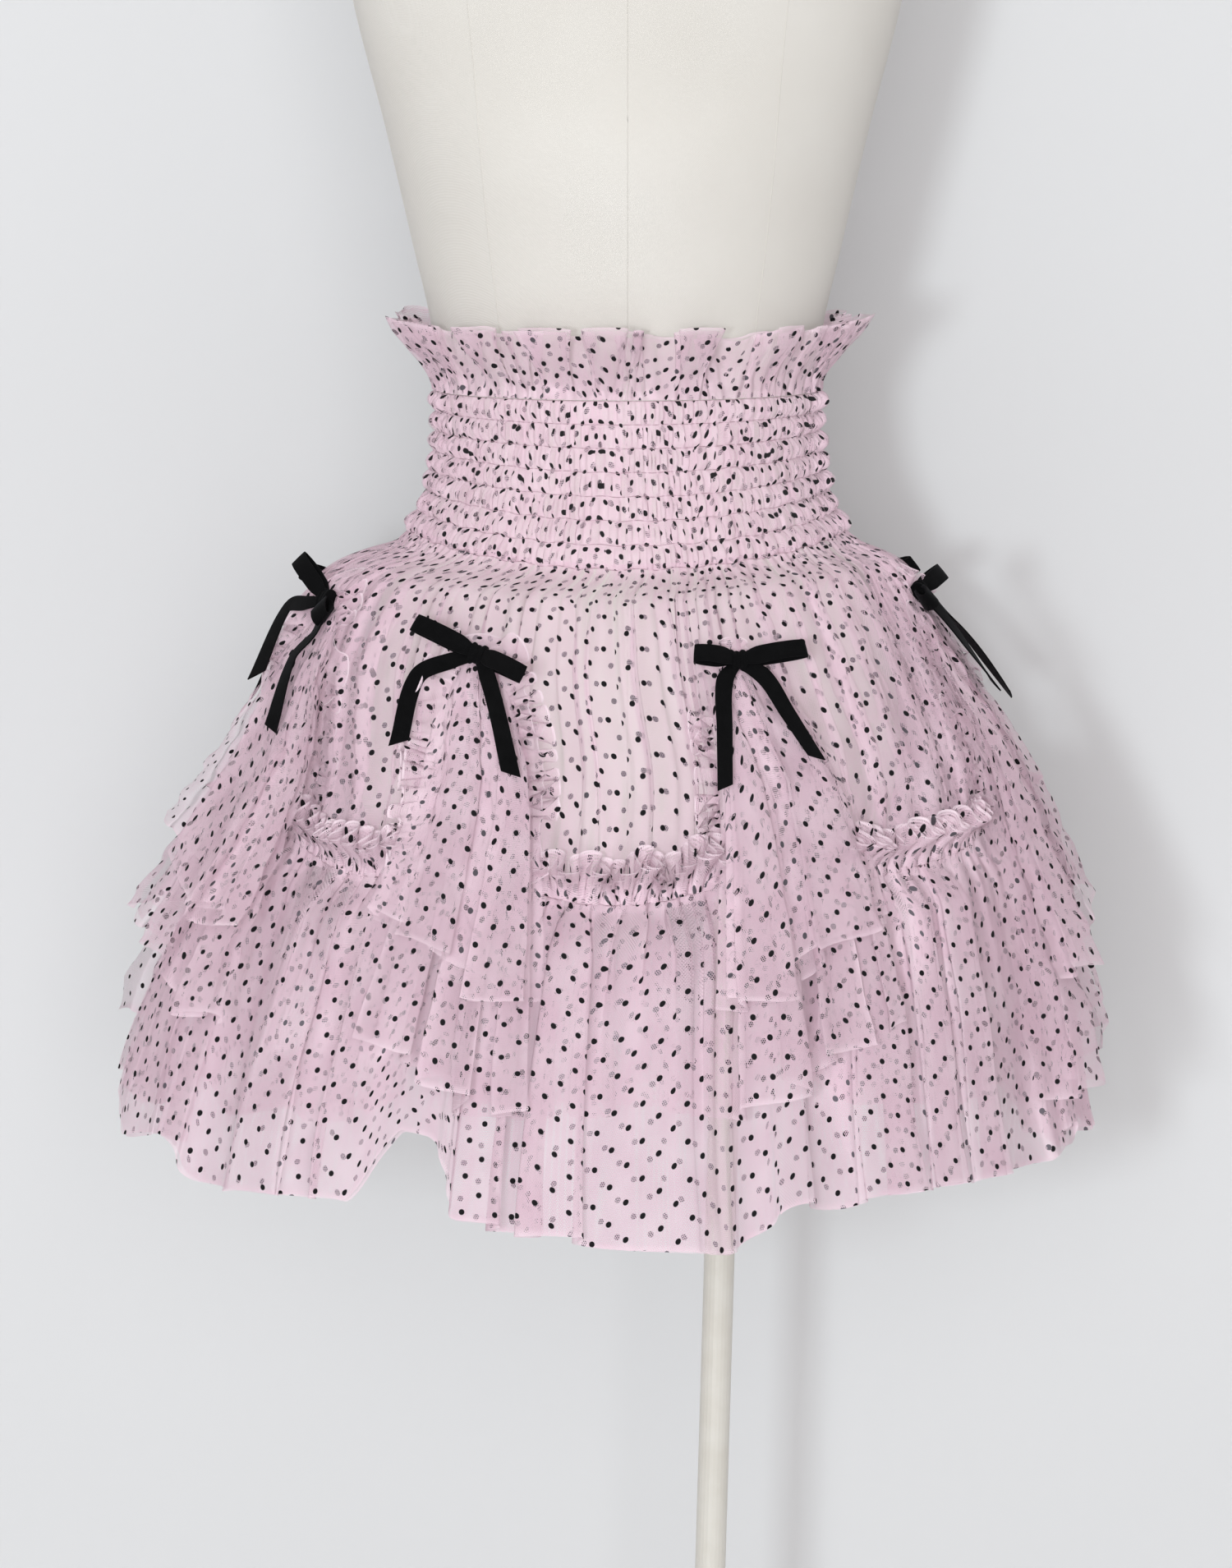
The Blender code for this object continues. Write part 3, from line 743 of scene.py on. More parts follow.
WALL_Y, WALL_HALF, WALL_TALL, FLOOR_HALF = 0.33, 4.0, 4.5, 14
add_stage("wall", [(-WALL_HALF, WALL_Y, 0), (WALL_HALF, WALL_Y, 0),
                   (WALL_HALF, WALL_Y, WALL_TALL), (-WALL_HALF, WALL_Y, WALL_TALL)], wall_look())
add_stage("floor", [(-FLOOR_HALF, -FLOOR_HALF, 0), (FLOOR_HALF, -FLOOR_HALF, 0),
                    (FLOOR_HALF, FLOOR_HALF, 0), (-FLOOR_HALF, FLOOR_HALF, 0)], floor_look())
print("wall:", WALL_Y, "m behind the form's middle")

# %% The light
SKIRT_MIDDLE = 0.85


def add_light(name, azimuth, elevation, distance, size, watts, colour):
    """A soft square lamp aimed at the skirt. Azimuth 0 is in front, growing towards +X."""
    data = bpy.data.lights.new(name, "AREA")
    data.size, data.energy, data.color = size, watts, colour
    lamp = bpy.data.objects.new(name, data)
    turn, lift = math.radians(azimuth), math.radians(elevation)
    lamp.location = (distance * math.sin(turn) * math.cos(lift), -distance * math.cos(turn) * math.cos(lift),
                     SKIRT_MIDDLE + distance * math.sin(lift))
    lamp.rotation_euler = (math.pi / 2 - lift, 0, turn)
    lamp.visible_camera = False
    bpy.context.scene.collection.objects.link(lamp)


def add_world(strength):
    """An even, slightly warm light from all sides."""
    world = bpy.data.worlds.new("studio")
    world.use_nodes = True
    background = world.node_tree.nodes["Background"]
    background.inputs["Color"].default_value = (0.99, 0.972, 0.965, 1)
    background.inputs["Strength"].default_value = strength
    bpy.context.scene.world = world


add_world(0.50)
add_light("key", -9, 5, 4.6, 0.30, 48, (0.88, 0.97, 1.0))
add_light("softbox", -1, 7, 4.4, 1.8, 64, (0.995, 0.99, 0.985))
scene = bpy.context.scene
scene.view_settings.view_transform = "Standard"
scene.cycles.transparent_max_bounces = 18  # layers of net that a ray may pass
scene.cycles.max_bounces = 4
scene.cycles.diffuse_bounces = 2
print("lamps:", *(lamp.name for lamp in bpy.data.lights))

# %% [markdown]
# ## The dress form and its stand
# The cover is sewn from panels, so a form has seams down its middle, its princess lines and its sides.
# They could be grooves in a texture, but a thin welt catches light from every side. Solids that need no
# other form, such as the pole, only get their paint.

# %% The cover, its seams and the stand
def add_form():
    """The cover: ellipses from the hips to the neck, whose lowest edge turns in on a quarter circle."""
    columns, rows = 96, 110
    angle = np.linspace(0, 360, columns, endpoint=False)[None, :]
    height = np.linspace(FORM_BOTTOM, FORM_TOP, rows)[:, None]
    points = form_point(angle, height)
    edge = 0.006  # the padding rolls over at the hips' edge
    tuck = edge * (1 - np.sqrt(np.clip(1 - (1 - np.clip((height - FORM_BOTTOM) / edge, 0, 1)) ** 2, 0, 1)))
    middle = np.array([0, 0.008, 0])
    flat = (points - middle) * (1, 1, 0)
    points = points - unit(flat) * tuck[..., None]
    floor = np.stack([middle + (0, 0, FORM_BOTTOM) + (points[0] - middle - (0, 0, FORM_BOTTOM)) * part
                      for part in (0.02, 0.5, 0.97)])
    points = np.concatenate([floor, points])
    faces = barrel_faces(len(points), columns)[:, ::-1]
    mesh = new_mesh("form_cover", points.reshape(-1, 3), faces)
    mesh.set_sharp_from_angle(angle=math.radians(50))
    add_piece("form_cover", mesh, linen, ["form_torso"])


def add_form_seams():
    """Princess, middle and side seams: thin welts through a few places each, with their bends smoothed."""
    seams = {
        "middle_front": ((FORM_BOTTOM, 0), (FORM_TOP, 0)),
        "princess_right": ((FORM_BOTTOM, 30), (0.95, 34), (1.06, 41), (1.17, 39), (1.29, 34), (1.39, 38)),
        "princess_left": ((FORM_BOTTOM, -30), (0.95, -34), (1.06, -41), (1.17, -39), (1.29, -34),
                          (1.39, -38)),
        "side_right": ((FORM_BOTTOM, 90), (1.38, 92)),
        "side_left": ((FORM_BOTTOM, -90), (1.38, -92)),
        "back_princess_right": ((FORM_BOTTOM, 148), (1.06, 141), (1.25, 146), (1.39, 142)),
        "back_princess_left": ((FORM_BOTTOM, -148), (1.06, -141), (1.25, -146), (1.39, -142)),
        "middle_back": ((FORM_BOTTOM, 180), (FORM_TOP, 180)),
    }
    for name, bends in seams.items():
        heights, angles = np.array(bends).T
        height = np.linspace(heights[0] + 0.004, heights[-1] - 0.002, 140)
        angle = np.interp(height, heights, angles)
        kernel = np.hanning(41) / np.hanning(41).sum()
        angle = np.convolve(np.pad(angle, 20, mode="edge"), kernel, mode="valid")
        add_tube(f"form_seam_{name}", form_point(angle, height, 0.00005), 0.00028, linen)


def repaint_stand():
    """The solids that need no other form get the paint."""
    for node in ("form_neck_cap", "form_hip_plate", "stand_pole", "stand_socket", "stand_base"):
        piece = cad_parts[node]
        piece.data.materials.clear()
        piece.data.materials.append(paint)


add_form()
add_form_seams()
repaint_stand()
print("form:", round(FORM_TOP - FORM_BOTTOM, 3), "m tall")

# %% [markdown]
# ## The shirred waistband
# Eight lines of elastic gather the band into seven puffed rows. Each row bulges between its lines, and its
# fine puckers run on from row to row but never match, so every row adds drift and strength of its own to
# a shared wave. A plain lining lies under them.

# %% The waistband
PUFFED_ROWS = 7


def add_waistband():
    """Seven puffed rows between lines of elastic, drawn into fine puckers of uneven depth."""
    columns, steps = 1000, 10
    turn = np.linspace(0, 1, columns, endpoint=False)
    angle = 360 * turn
    low = band_bottom(angle) + 0.0006 * np.sin(37 * 2 * math.pi * turn)
    rows = []
    base, _ = uneven(turn, 96, 11, drift=2.4)
    for row in range(PUFFED_ROWS):
        own, strength = uneven(turn, 0, 40 + row, drift=1.5, swell=0.9)
        small, small_strength = uneven(turn, 171, 60 + row, drift=2.6, swell=0.9)
        broad, _ = uneven(turn, 31, 70 + row, drift=1.2)
        phase = base + own
        last = row == PUFFED_ROWS - 1
        for part in np.linspace(0, 1, steps)[: None if last else -1]:
            height = low + (WAIST_TOP - low) * (row + part) / PUFFED_ROWS
            rise = math.sin(math.pi * part)
            pucker = (0.0004 + 0.0012 * rise) * (np.cos(phase) + 0.3 * np.cos(2 * phase)) * strength
            pucker = pucker + (0.0003 + 0.0005 * rise) * np.cos(small) * small_strength
            loose = 0.0007 * rise * np.cos(broad)
            out = np.maximum(0.0016 + 0.0030 * rise**0.7 + pucker + loose, 0.0010)
            sway = 0.0008 * rise * np.sin(2 * phase) / 0.0019
            ripple = 0.0007 * np.cos(phase * 0.5 + own) * (1 - abs(2 * part - 1) * (part in (0, 1)))
            rows.append(form_point(angle + sway, height + ripple, out))
    points = np.stack(rows[::-1])
    outer = add_cloth("waistband_outer", points, band_net, ["waistband"], ring=True,
                      tucks=(96, 0.012, 3))
    outer.visible_shadow = False
    height = np.linspace(1, 0, 16)[:, None] * (WAIST_TOP - low) + low
    lining = form_point(angle[None, ::4], height[:, ::4], 0.0009)
    add_cloth("waistband_inner", lining, band_lining, ["waistband"], ring=True,
              tucks=(48, 0.014, 4), inside=True)
    for row in range(PUFFED_ROWS + 1):
        height = low + (WAIST_TOP - low) * row / PUFFED_ROWS
        out = 0.0018 + 0.0004 * np.cos(base)
        add_tube(f"elastic_thread_{row}", form_point(angle, height, out)[::4], 0.00018, thread,
                 sides=4, ring=True)


add_waistband()
print("band:", round(1000 * (WAIST_TOP - band_bottom(0.0)), 1), "mm high at the front")

# %% [markdown]
# ## The frill over the band
# A doubled strip stands up from the band and falls open in deep waves with curled edges. It grows out of
# the band's gathers, so small waves fade upwards while broad ones grow.

# %% The top ruffle
RUFFLE_HEIGHT = 0.041


def add_top_ruffle():
    """The frill over the band: two layers in deep uneven waves with curled edges."""
    layers = ((outer_net, 960, 20, 0.0, 0.0), (inner_net, 700, 16, 0.0030, 0.5))
    for layer, (look, columns, rows, inward, change) in enumerate(layers):
        turn = np.linspace(0, 1, columns, endpoint=False)[None, :]
        fine, fine_strength = uneven(turn, 90, 21, drift=2.0, swell=0.6)
        wave, strength = uneven(turn, 19, 22, drift=1.1, swell=0.6)
        small, small_strength = uneven(turn, 43, 24, drift=1.4, swell=0.6)
        part = np.linspace(1, 0, rows)[:, None]
        part = np.concatenate([[[1.0]], [[1 - CUT_EDGE / RUFFLE_HEIGHT]], part[1:]])
        crest, little = np.cos(wave + change), np.cos(small + change)
        height = WAIST_TOP + 0.0006 + RUFFLE_HEIGHT * part * (0.97 + 0.06 * crest * strength + 0.03 * little)
        height = height - 0.002 * layer * part
        out = 0.0022 + ease(part, 0.0, 1.05) * (0.0150 + 0.0088 * crest * strength)
        out = out + 0.0030 * part * little * small_strength
        out = out + 0.0012 * np.cos(fine) * (1 - part) ** 0.7 * fine_strength
        out = out - inward * ease(part, 0, 0.4)
        out = out + crumple(turn * 1.3, part * RUFFLE_HEIGHT, 23 + layer, 0.0006)
        side = 0.0062 * part * np.sin(2 * (wave + change)) * strength
        side = side + 0.0024 * part * np.sin(2 * (small + change)) * small_strength
        points = form_point(360 * turn + side / 0.00178, height, np.maximum(out, 0.0012))
        add_cloth(f"top_ruffle_{layer + 1}", points, look, ["top_ruffle"], ring=True,
                  tucks=(44, 0.006, 5 + layer), edges=(0.5, 0), inside=layer == 1)


add_top_ruffle()
print("frill:", 1000 * RUFFLE_HEIGHT, "mm high")

# %% [markdown]
# ## The gathered skirt
# Two layers of net hang from the band. Fine gathers leave it, run together into soft folds and lie flat
# again at the flounce's seam, so three sizes of wave share the height between them.

# %% The upper skirt
def add_upper_skirt():
    """Fine gathers leave the band, run together into soft folds and lie flat again at the flounce's seam."""
    layers = ((outer_net, 1000, 50, 0.0), (inner_net, 640, 34, 0.0026))
    for layer, (look, columns, rows, inward) in enumerate(layers):
        turn = np.linspace(0, 1, columns, endpoint=False)[None, :]
        angle = 360 * turn
        fine, fine_strength = uneven(turn, 150, 31, drift=2.4, swell=0.7)
        middle, middle_strength = uneven(turn, 58, 32, drift=2.0, swell=0.8)
        wave, strength = uneven(turn, 20, 33, drift=1.0, swell=0.5)
        away, _ = bow_values(angle, 1)
        part = np.linspace(0, 1, rows)[:, None] ** 1.25
        top, low = band_bottom(angle) + 0.0030, seam_height(angle) - 0.005
        height = top + (low - top) * part
        change = 0.18 * layer
        body = np.sin(math.pi * np.clip(part, 0, 1) ** 0.8)
        small = np.exp(-part / 0.42)
        to_seam = np.exp(-(1 - part) / 0.16)
        ridge = np.cos(middle + change) + 0.35 * np.cos(2 * (middle + change))
        out = 0.0050 * body * np.cos(wave + change) * strength * (0.35 + 0.65 * ease(away, 3, 12))
        out = out + (0.0026 * body + 0.0016 * ease(part, 0, 0.1)) * ridge * middle_strength
        out = out + (0.0017 * small + 0.0008 * to_seam) * np.cos(fine + change) * fine_strength
        side = 0.0040 * body * np.sin(2 * (wave + change)) + 0.0026 * body * np.sin(2 * (middle + change))
        out = out - inward * ease(part, 0, 0.15)
        out = out + crumple(turn * 1.15, part * 0.18, 34 + layer, 0.0007)
        body_points = skirt_point(angle + side / skirt_stride(angle, height), height, out)
        tuck = 0.0012 + 0.0018 * ease(part, 0.015, 0.04) - 0.0003 * layer
        band_points = form_point(angle, height, tuck + 0.0006 * np.cos(fine))
        join = ease(part, 0.02, 0.095)[..., None]
        points = body_points * join + band_points * (1 - join)
        cloth = add_cloth(f"skirt_upper_{layer + 1}", points, look, ["skirt_upper"], ring=True,
                          tucks=(58, 0.004, 32 + 3 * layer), inside=layer == 1)
        cloth.visible_shadow = False  # so sheer that the form behind it stays bright


add_upper_skirt()
print("gathers: 150 fine, 58 middle and 20 broad waves in a turn")

# %% [markdown]
# ## The flounce
# The strip is sewn on a little under its raw top edge, which stands over the seam as a narrow heading in
# tight curls. Under the seam it falls in broad folds to the raw hem. It is made as eight lengths, from bow
# to bow, because each ends where a cascade begins.

# %% The heading
HEADING = 0.025


def add_heading(number, start, end):
    """The strip's own top edge over the seam: a narrow frill in tight curls."""
    layers = ((flounce_net, 0.00066, 9, 0.0), (inner_net, 0.0010, 7, 0.0025))
    for layer, (look, column, rows, inward) in enumerate(layers):
        angle = np.linspace(start, end, int((end - start) * 0.0046 / column))[None, :]
        turn = angle / 360
        away, _ = bow_values(angle, 1)
        beside_bow = ease(away, 5.5, 8.5)
        curl, curl_strength = uneven(turn, 132, 44, drift=3.4, swell=0.7)
        curl = curl + 1.6 * layer
        broad, broad_strength = uneven(turn, 37, 46, drift=1.8, swell=0.7)
        part = np.concatenate([[1.0, 1 - CUT_EDGE / HEADING], np.linspace(0.90, 0.0, rows)])[:, None]
        rise = part * (0.003 + (HEADING + 0.004 * np.cos(broad) * broad_strength) * beside_bow)
        rise = rise - 0.0052 * part**2 * (1 + np.cos(curl)) * beside_bow
        height = seam_height(angle) - 0.002 * layer * part + rise
        lean = ease(part, 0, 1.1) * (0.0125 + 0.0085 * np.cos(curl) * curl_strength + 0.0050 * np.cos(broad))
        tight = 0.0009 * np.cos(curl) * (1 - part)
        side = (0.0036 * part * np.sin(2 * curl) + 0.0040 * part * np.sin(broad + 1)) * beside_bow
        out = np.maximum(0.0026 * slant(height) + lean * beside_bow + tight - inward * part, 0.0012)
        points = skirt_point(angle + side / skirt_stride(angle, height), height, out)
        add_cloth(f"flounce_heading_{BOWS[number][0]}_{layer + 1}", points, look, ["flounce"],
                  tucks=(12, 0.001, 60 + 2 * number + layer), edges=(1, 0), inside=layer == 1)


# %% The flounce
def add_flounce():
    """Eight lengths of the gathered strip, from bow to bow."""
    for number, bow in enumerate(BOWS):
        start, end = bow[1], BOWS[(number + 1) % len(BOWS)][1]
        if end < start:
            end += 360
        add_heading(number, start, end)
        layers = ((flounce_net, 0.00130, 45, 0.0), (flounce_inner, 0.0020, 32, 0.0030))
        for layer, (look, column, rows, inward) in enumerate(layers):
            angle = np.linspace(start, end, int((end - start) * 0.0046 / column))[None, :]
            turn = angle / 360
            away, _ = bow_values(angle, 1)
            seam, hem = seam_height(angle), hem_height(angle)
            fine, fine_strength = uneven(turn, 170, 41, drift=2.2, swell=0.7)
            middle, middle_strength = uneven(turn, 64, 42, drift=2.4, swell=0.9)
            wave, strength = uneven(turn, 25, 43, drift=1.7, swell=0.6)
            change = 0.16 * layer
            quiet = 0.4 + 0.6 * ease(away, 5, 13)
            t = np.array([*np.linspace(-0.010, 0.98, rows), 1 - CUT_EDGE / 0.19, 1.0])[:, None]
            height = seam + (hem + 0.0026 * np.cos(wave) * strength - seam) * t - 0.0015 * layer * t
            t = np.maximum(t, 0)
            grown = 0.38 * ease(t, 0, 0.16) + 0.62 * t
            settled = ease(t, 0, 0.05) * np.exp(-t / 0.30) + 0.12
            out = 0.0023 * slant(height) + 0.0100 * ease(t, 0, 0.13) + 0.0065 * t
            out = out + 0.0115 * grown * puffed(wave + change) * strength * quiet
            out = out + 0.0034 * settled * np.cos(middle + change) * middle_strength
            out = out + 0.0012 * np.exp(-t / 0.10) * np.cos(fine) * fine_strength
            out = out - inward * ease(t, 0, 0.12)
            out = out + crumple(turn * 1.6, t * 0.08, 45 + layer, 0.0011, 0.07)
            side = (0.0088 * grown * np.sin(2 * (wave + change)) * strength * quiet
                    + 0.0030 * settled * np.sin(2 * (middle + change)) * middle_strength)
            points = skirt_point(angle + side / skirt_stride(angle, height), height, out)
            add_cloth(f"flounce_{bow[0]}_{layer + 1}", points, look, ["flounce"],
                      tucks=(5, 0.003, 50 + 2 * number + layer), edges=(0, 0.4), inside=layer == 1)

    angle = np.linspace(0, 360, 900, endpoint=False)
    fine, fine_strength = uneven(angle / 360, 170, 41, drift=1.6)
    seam = seam_height(angle)
    out = 0.0030 * slant(seam) + 0.0011 * np.cos(fine)
    stitches = skirt_point(angle, seam + 0.0006 * np.sin(fine * 0.5), out)
    add_tube("flounce_stitches", stitches, 0.00020, thread, sides=4, ring=True)


add_flounce()

# %% [markdown]
# ## The cascades under the bows
# Where the strip is drawn up to a bow it falls as three loose sheets that lie over each other, with the
# heading as a frill round them. Each sheet runs from the arch of its seam down to a hem of its own, so it
# is a surface between those two lines with folds that grow as it falls.

# %% The arch and places near a bow
ARCH_HALF_WIDTH = 0.026
# The side, right (1) or left (-1), where a cascade falls over its own frill
COVERED = {"front_right": 1}


def arch_path(bow, theta):
    """The seam's climb to a bow and down again: how far right of the bow, and at what height. theta runs
    from -90 degrees at its left foot to 90 at its right."""
    foot = seam_height(np.array([bow[1]]))[0] + 0.004
    apex = bow[2] + 0.004
    side = ARCH_HALF_WIDTH * np.sin(theta) * (0.75 + 0.25 * np.abs(np.sin(theta)))
    return side, foot + (apex - foot) * np.clip(np.cos(theta), 0, 1) ** 0.62


def bow_surface(bow, side, height, out):
    """A point by its distance right of a bow, its height, and how far it stands off the skirt."""
    angle = bow[1] + side / skirt_stride(bow[1], height)
    return skirt_point(angle, height, 0.0023 * slant(height) + out)


# %% A cascade's sheets
def add_cascade(number, bow):
    """Three sheets from the arch to the cascade's hem. Down a sheet, side and height go in
    step from arch to hem; the sheet stands out by a power of its fall, and its folds are puffed waves."""
    name, _, bow_height, drop, stands_out, swing, _ = bow
    seed = 200 + 10 * number
    outer_side = 1 if bow[1] < 180 else -1
    sheets = (
        # look, columns, rows, drop's share, spread, stands out, folds, first and last place across
        (flounce_net, 120, 36, 0.90, 0.053, 1.00, 1.9, -1.0, 1.0),
        (inner_net, 76, 26, 0.88, 0.051, 0.88, 1.9, -0.98, 0.98),
        (flounce_net, 110, 36, 1.26, 0.056, 0.62, 2.5, -1.0, 1.0),
    )
    for layer, (look, columns, rows, share, spread, standing, folds, first, last) in enumerate(sheets):
        rng = np.random.default_rng(seed + layer)
        across = np.linspace(first, last, columns)[None, :]
        t = np.concatenate([np.linspace(0, 0.98, rows), [1 - CUT_EDGE / drop, 1.0]])[:, None]
        side_top, height_top = arch_path(bow, across * 1.25)
        covered = COVERED.get(name, 0)
        side_top = side_top + 0.016 * covered * ease(across * covered, 0.1, 1.0)
        turn = (across + 1) / 2
        wander = rng.uniform(0, 6.3)
        phase = 2 * math.pi * folds * turn + 0.9 * np.sin(2 * math.pi * turn + wander) + wander
        ragged = 0.0035 * np.cos(phase) + 0.0015 * np.cos(2.3 * phase)
        longer = 0.030 * ease(-across * outer_side, -0.3, 0.6) - 0.012 * ease(across * outer_side, 0.2, 1.0)
        height_hem = bow_height - drop * share - longer + ragged
        side_hem = spread * across + swing
        side = side_top + (side_hem - side_top) * t**0.8
        height = height_top + (height_hem - height_top) * t
        fallen = np.clip((bow_height - height) / drop, 0, 1.3)
        out = 0.0015 + stands_out * standing * fallen**1.25 - 0.002 * layer
        depth = 0.0100 * fallen**0.8
        out = out + depth * puffed(phase) + 0.0016 * np.cos(2.7 * phase + 1.0) * fallen**0.5
        side = side + 0.0085 * fallen**0.7 * np.sin(2 * phase) + 0.0008 * np.sin(5.4 * phase)
        out = out + 0.0009 * np.cos(9 * phase) * np.exp(-t / 0.12)
        out = out + crumple(across * 0.05, t * drop, seed + 5 + layer, 0.0011)
        points = bow_surface(bow, side, height, np.maximum(out, 0.0002))
        add_cloth(f"cascade_{name}_{layer + 1}", points, look, [f"cascade_{name}"],
                  tucks=(7, 0.001, seed + layer), edges=(0, 0.4), inside=layer == 1)


# %% The frill round the arch
def add_arch_frill(number, bow):
    """The strip's heading, which stands as a frill along both sides of the arch and over the bow."""
    name = bow[0]
    columns, rows = 380, 9
    theta = np.linspace(-math.pi / 2, math.pi / 2, columns)[None, :]
    side, height = arch_path(bow, theta)
    rng = np.random.default_rng(300 + number)
    run = np.stack([np.gradient(side[0]), np.gradient(height[0])])
    run = run / np.linalg.norm(run, axis=0)
    away_side, away_up = -run[1], run[0]
    turn = np.cumsum(np.hypot(np.gradient(side[0]), np.gradient(height[0])))
    turn = (turn / turn[-1])[None, :]
    phase = 2 * math.pi * 21 * turn + 4.2 * np.sin(2 * math.pi * 2 * turn + rng.uniform(0, 6))
    phase = phase + rng.uniform(0, 6)
    phase = phase + 2.1 * np.sin(2 * math.pi * 5.3 * turn + rng.uniform(0, 6))
    strength = 1 + 0.55 * np.sin(2 * math.pi * 6.4 * turn + rng.uniform(0, 6))
    part = np.concatenate([[1.0, 1 - CUT_EDGE / HEADING], np.linspace(0.93, 0, rows)])[:, None]
    wide = HEADING * (0.72 + 0.28 * np.abs(np.sin(theta))) * (0.84 - 0.20 * np.cos(phase))
    covered = COVERED.get(name, 0)
    wide = wide * (1 - abs(covered) * (0.35 + 0.30 * ease(theta * covered, 0.0, 0.6)))
    reach = part * wide
    lean = 0.55 * (1.0 - 0.35 * np.cos(theta))
    out = 0.0016 + reach * lean + 0.0050 * part * np.cos(phase) * strength
    out = out + 0.0008 * (1 - part) * np.cos(3 * phase)
    curl = 0.0034 * part * np.sin(2 * phase) * strength
    curl = curl + 0.0030 * part**2 * np.sin(2 * math.pi * 4.5 * turn + number)
    side_all = side + away_side * reach * 0.86 + run[0] * curl
    height_all = height + away_up * reach * 0.86 + run[1] * curl
    out = out + crumple(turn * 0.3, part * HEADING, 310 + number, 0.0005)
    points = bow_surface(bow, side_all, height_all, np.maximum(out, 0.0004))
    frill = add_cloth(f"arch_frill_{name}", points, flounce_net, [f"cascade_{name}"],
                      tucks=(17, 0.002, 320 + number), edges=(1, 0))
    frill.visible_shadow = False


# %% [markdown]
# ## Velvet bows
# A bow is a length of ribbon: two loops and two tails that meet in a knot. A flat profile with a crowned
# pile is carried along a path, which keeps the ribbon's width while it twists. The loops and tails are
# drawn after those in the photograph, and the hidden bows are like them.

# %% The bows' ribbon
RIBBON_WIDTH = 0.0105
RIBBON = 0.0011  # thickness with its pile
KNOT_LIFT = 0.0063  # how far a knot's middle stands off the cascade
# Loops of a bow: length, degrees above level, right (1) or left (-1)
LOOPS = {
    "front_right": ((0.036, 7, 1), (0.027, 10, -1)),
    "side_front_right": ((0.030, 12, 1), (0.022, -16, -1)),
    "side_back_right": ((0.032, -6, 1), (0.030, 15, -1)),
    "back_right": ((0.032, 14, 1), (0.034, -8, -1)),
    "back_left": ((0.034, -12, 1), (0.031, 16, -1)),
    "side_back_left": ((0.026, 14, 1), (0.033, -5, -1)),
    "side_front_left": ((0.020, -35, 1), (0.036, 32, -1)),
    "front_left": ((0.033, -20, 1), (0.038, 24, -1)),
}
# Tails of a bow: how far right of the knot and how far under it each of its bends lies
TAILS = {
    "front_right": (((0.011, 0.006), (0.018, 0.026), (0.025, 0.050)),
                    ((-0.011, 0.008), (-0.019, 0.034), (-0.027, 0.064))),
    "side_front_right": (((0.012, 0.006), (0.028, 0.028), (0.036, 0.060)),
                         ((0.003, 0.010), (0.011, 0.034), (0.015, 0.052))),
    "side_back_right": (((0.010, 0.006), (0.018, 0.026), (0.023, 0.064)),
                        ((-0.010, 0.006), (-0.020, 0.026), (-0.028, 0.060))),
    "back_right": (((0.010, 0.006), (0.019, 0.026), (0.024, 0.066)),
                   ((-0.010, 0.006), (-0.022, 0.026), (-0.030, 0.060))),
    "back_left": (((0.010, 0.006), (0.022, 0.026), (0.028, 0.064)),
                  ((-0.009, 0.006), (-0.017, 0.028), (-0.023, 0.070))),
    "side_back_left": (((0.010, 0.006), (0.020, 0.028), (0.024, 0.062)),
                       ((-0.010, 0.006), (-0.016, 0.030), (-0.022, 0.066))),
    "side_front_left": (((0.014, 0.013), (0.010, 0.028), (0.020, 0.066)),
                        ((-0.014, 0.000), (-0.032, 0.004), (-0.016, 0.040))),
    "front_left": (((0.008, 0.007), (0.016, 0.028), (0.024, 0.060)),
                   ((-0.013, 0.001), (-0.030, 0.010), (-0.037, 0.046))),
}


def smooth_path(points, count):
    """Points on a smooth curve through a few."""
    points = np.asarray(points, dtype=float)
    reach = np.concatenate([[0], np.cumsum(np.linalg.norm(np.diff(points, axis=0), axis=1))])
    table = np.column_stack([reach, points])
    return np.stack(level(table, np.linspace(0, reach[-1], count)), axis=1)


def ribbon_mesh(name, middle, across, normal, half_widths, ring=False, cut=0.0):
    """A flat ribbon with a slightly crowned pile: points along its middle, its ways across and out, and its
    half width at each. cut shears its last end."""
    profile = np.array([(-1.0, 0.0), (-0.97, 0.8), (-0.5, 1.0), (0.0, 1.1), (0.5, 1.0), (0.97, 0.8),
                        (1.0, 0.0), (0.97, -0.8), (0.0, -1.0), (-0.97, -0.8)])
    count = len(middle)
    run = unit(np.gradient(middle, axis=0))
    end = ease(np.arange(count) / (count - 1), 0.86, 1.0)[:, None, None]
    rings = (middle[:, None]
             + profile[None, :, :1] * half_widths[:, None, None] * across[:, None]
             + profile[None, :, 1:] * RIBBON / 2 * normal[:, None]
             + profile[None, :, :1] * cut * end * run[:, None])
    if ring:
        faces = grid_faces(count + 1, len(profile), True) % (count * len(profile))
    else:
        faces = barrel_faces(count, len(profile))
    mesh = new_mesh(name, rings.reshape(-1, 3), faces[:, ::-1])
    mesh.set_sharp_from_angle(angle=math.radians(50))
    return mesh


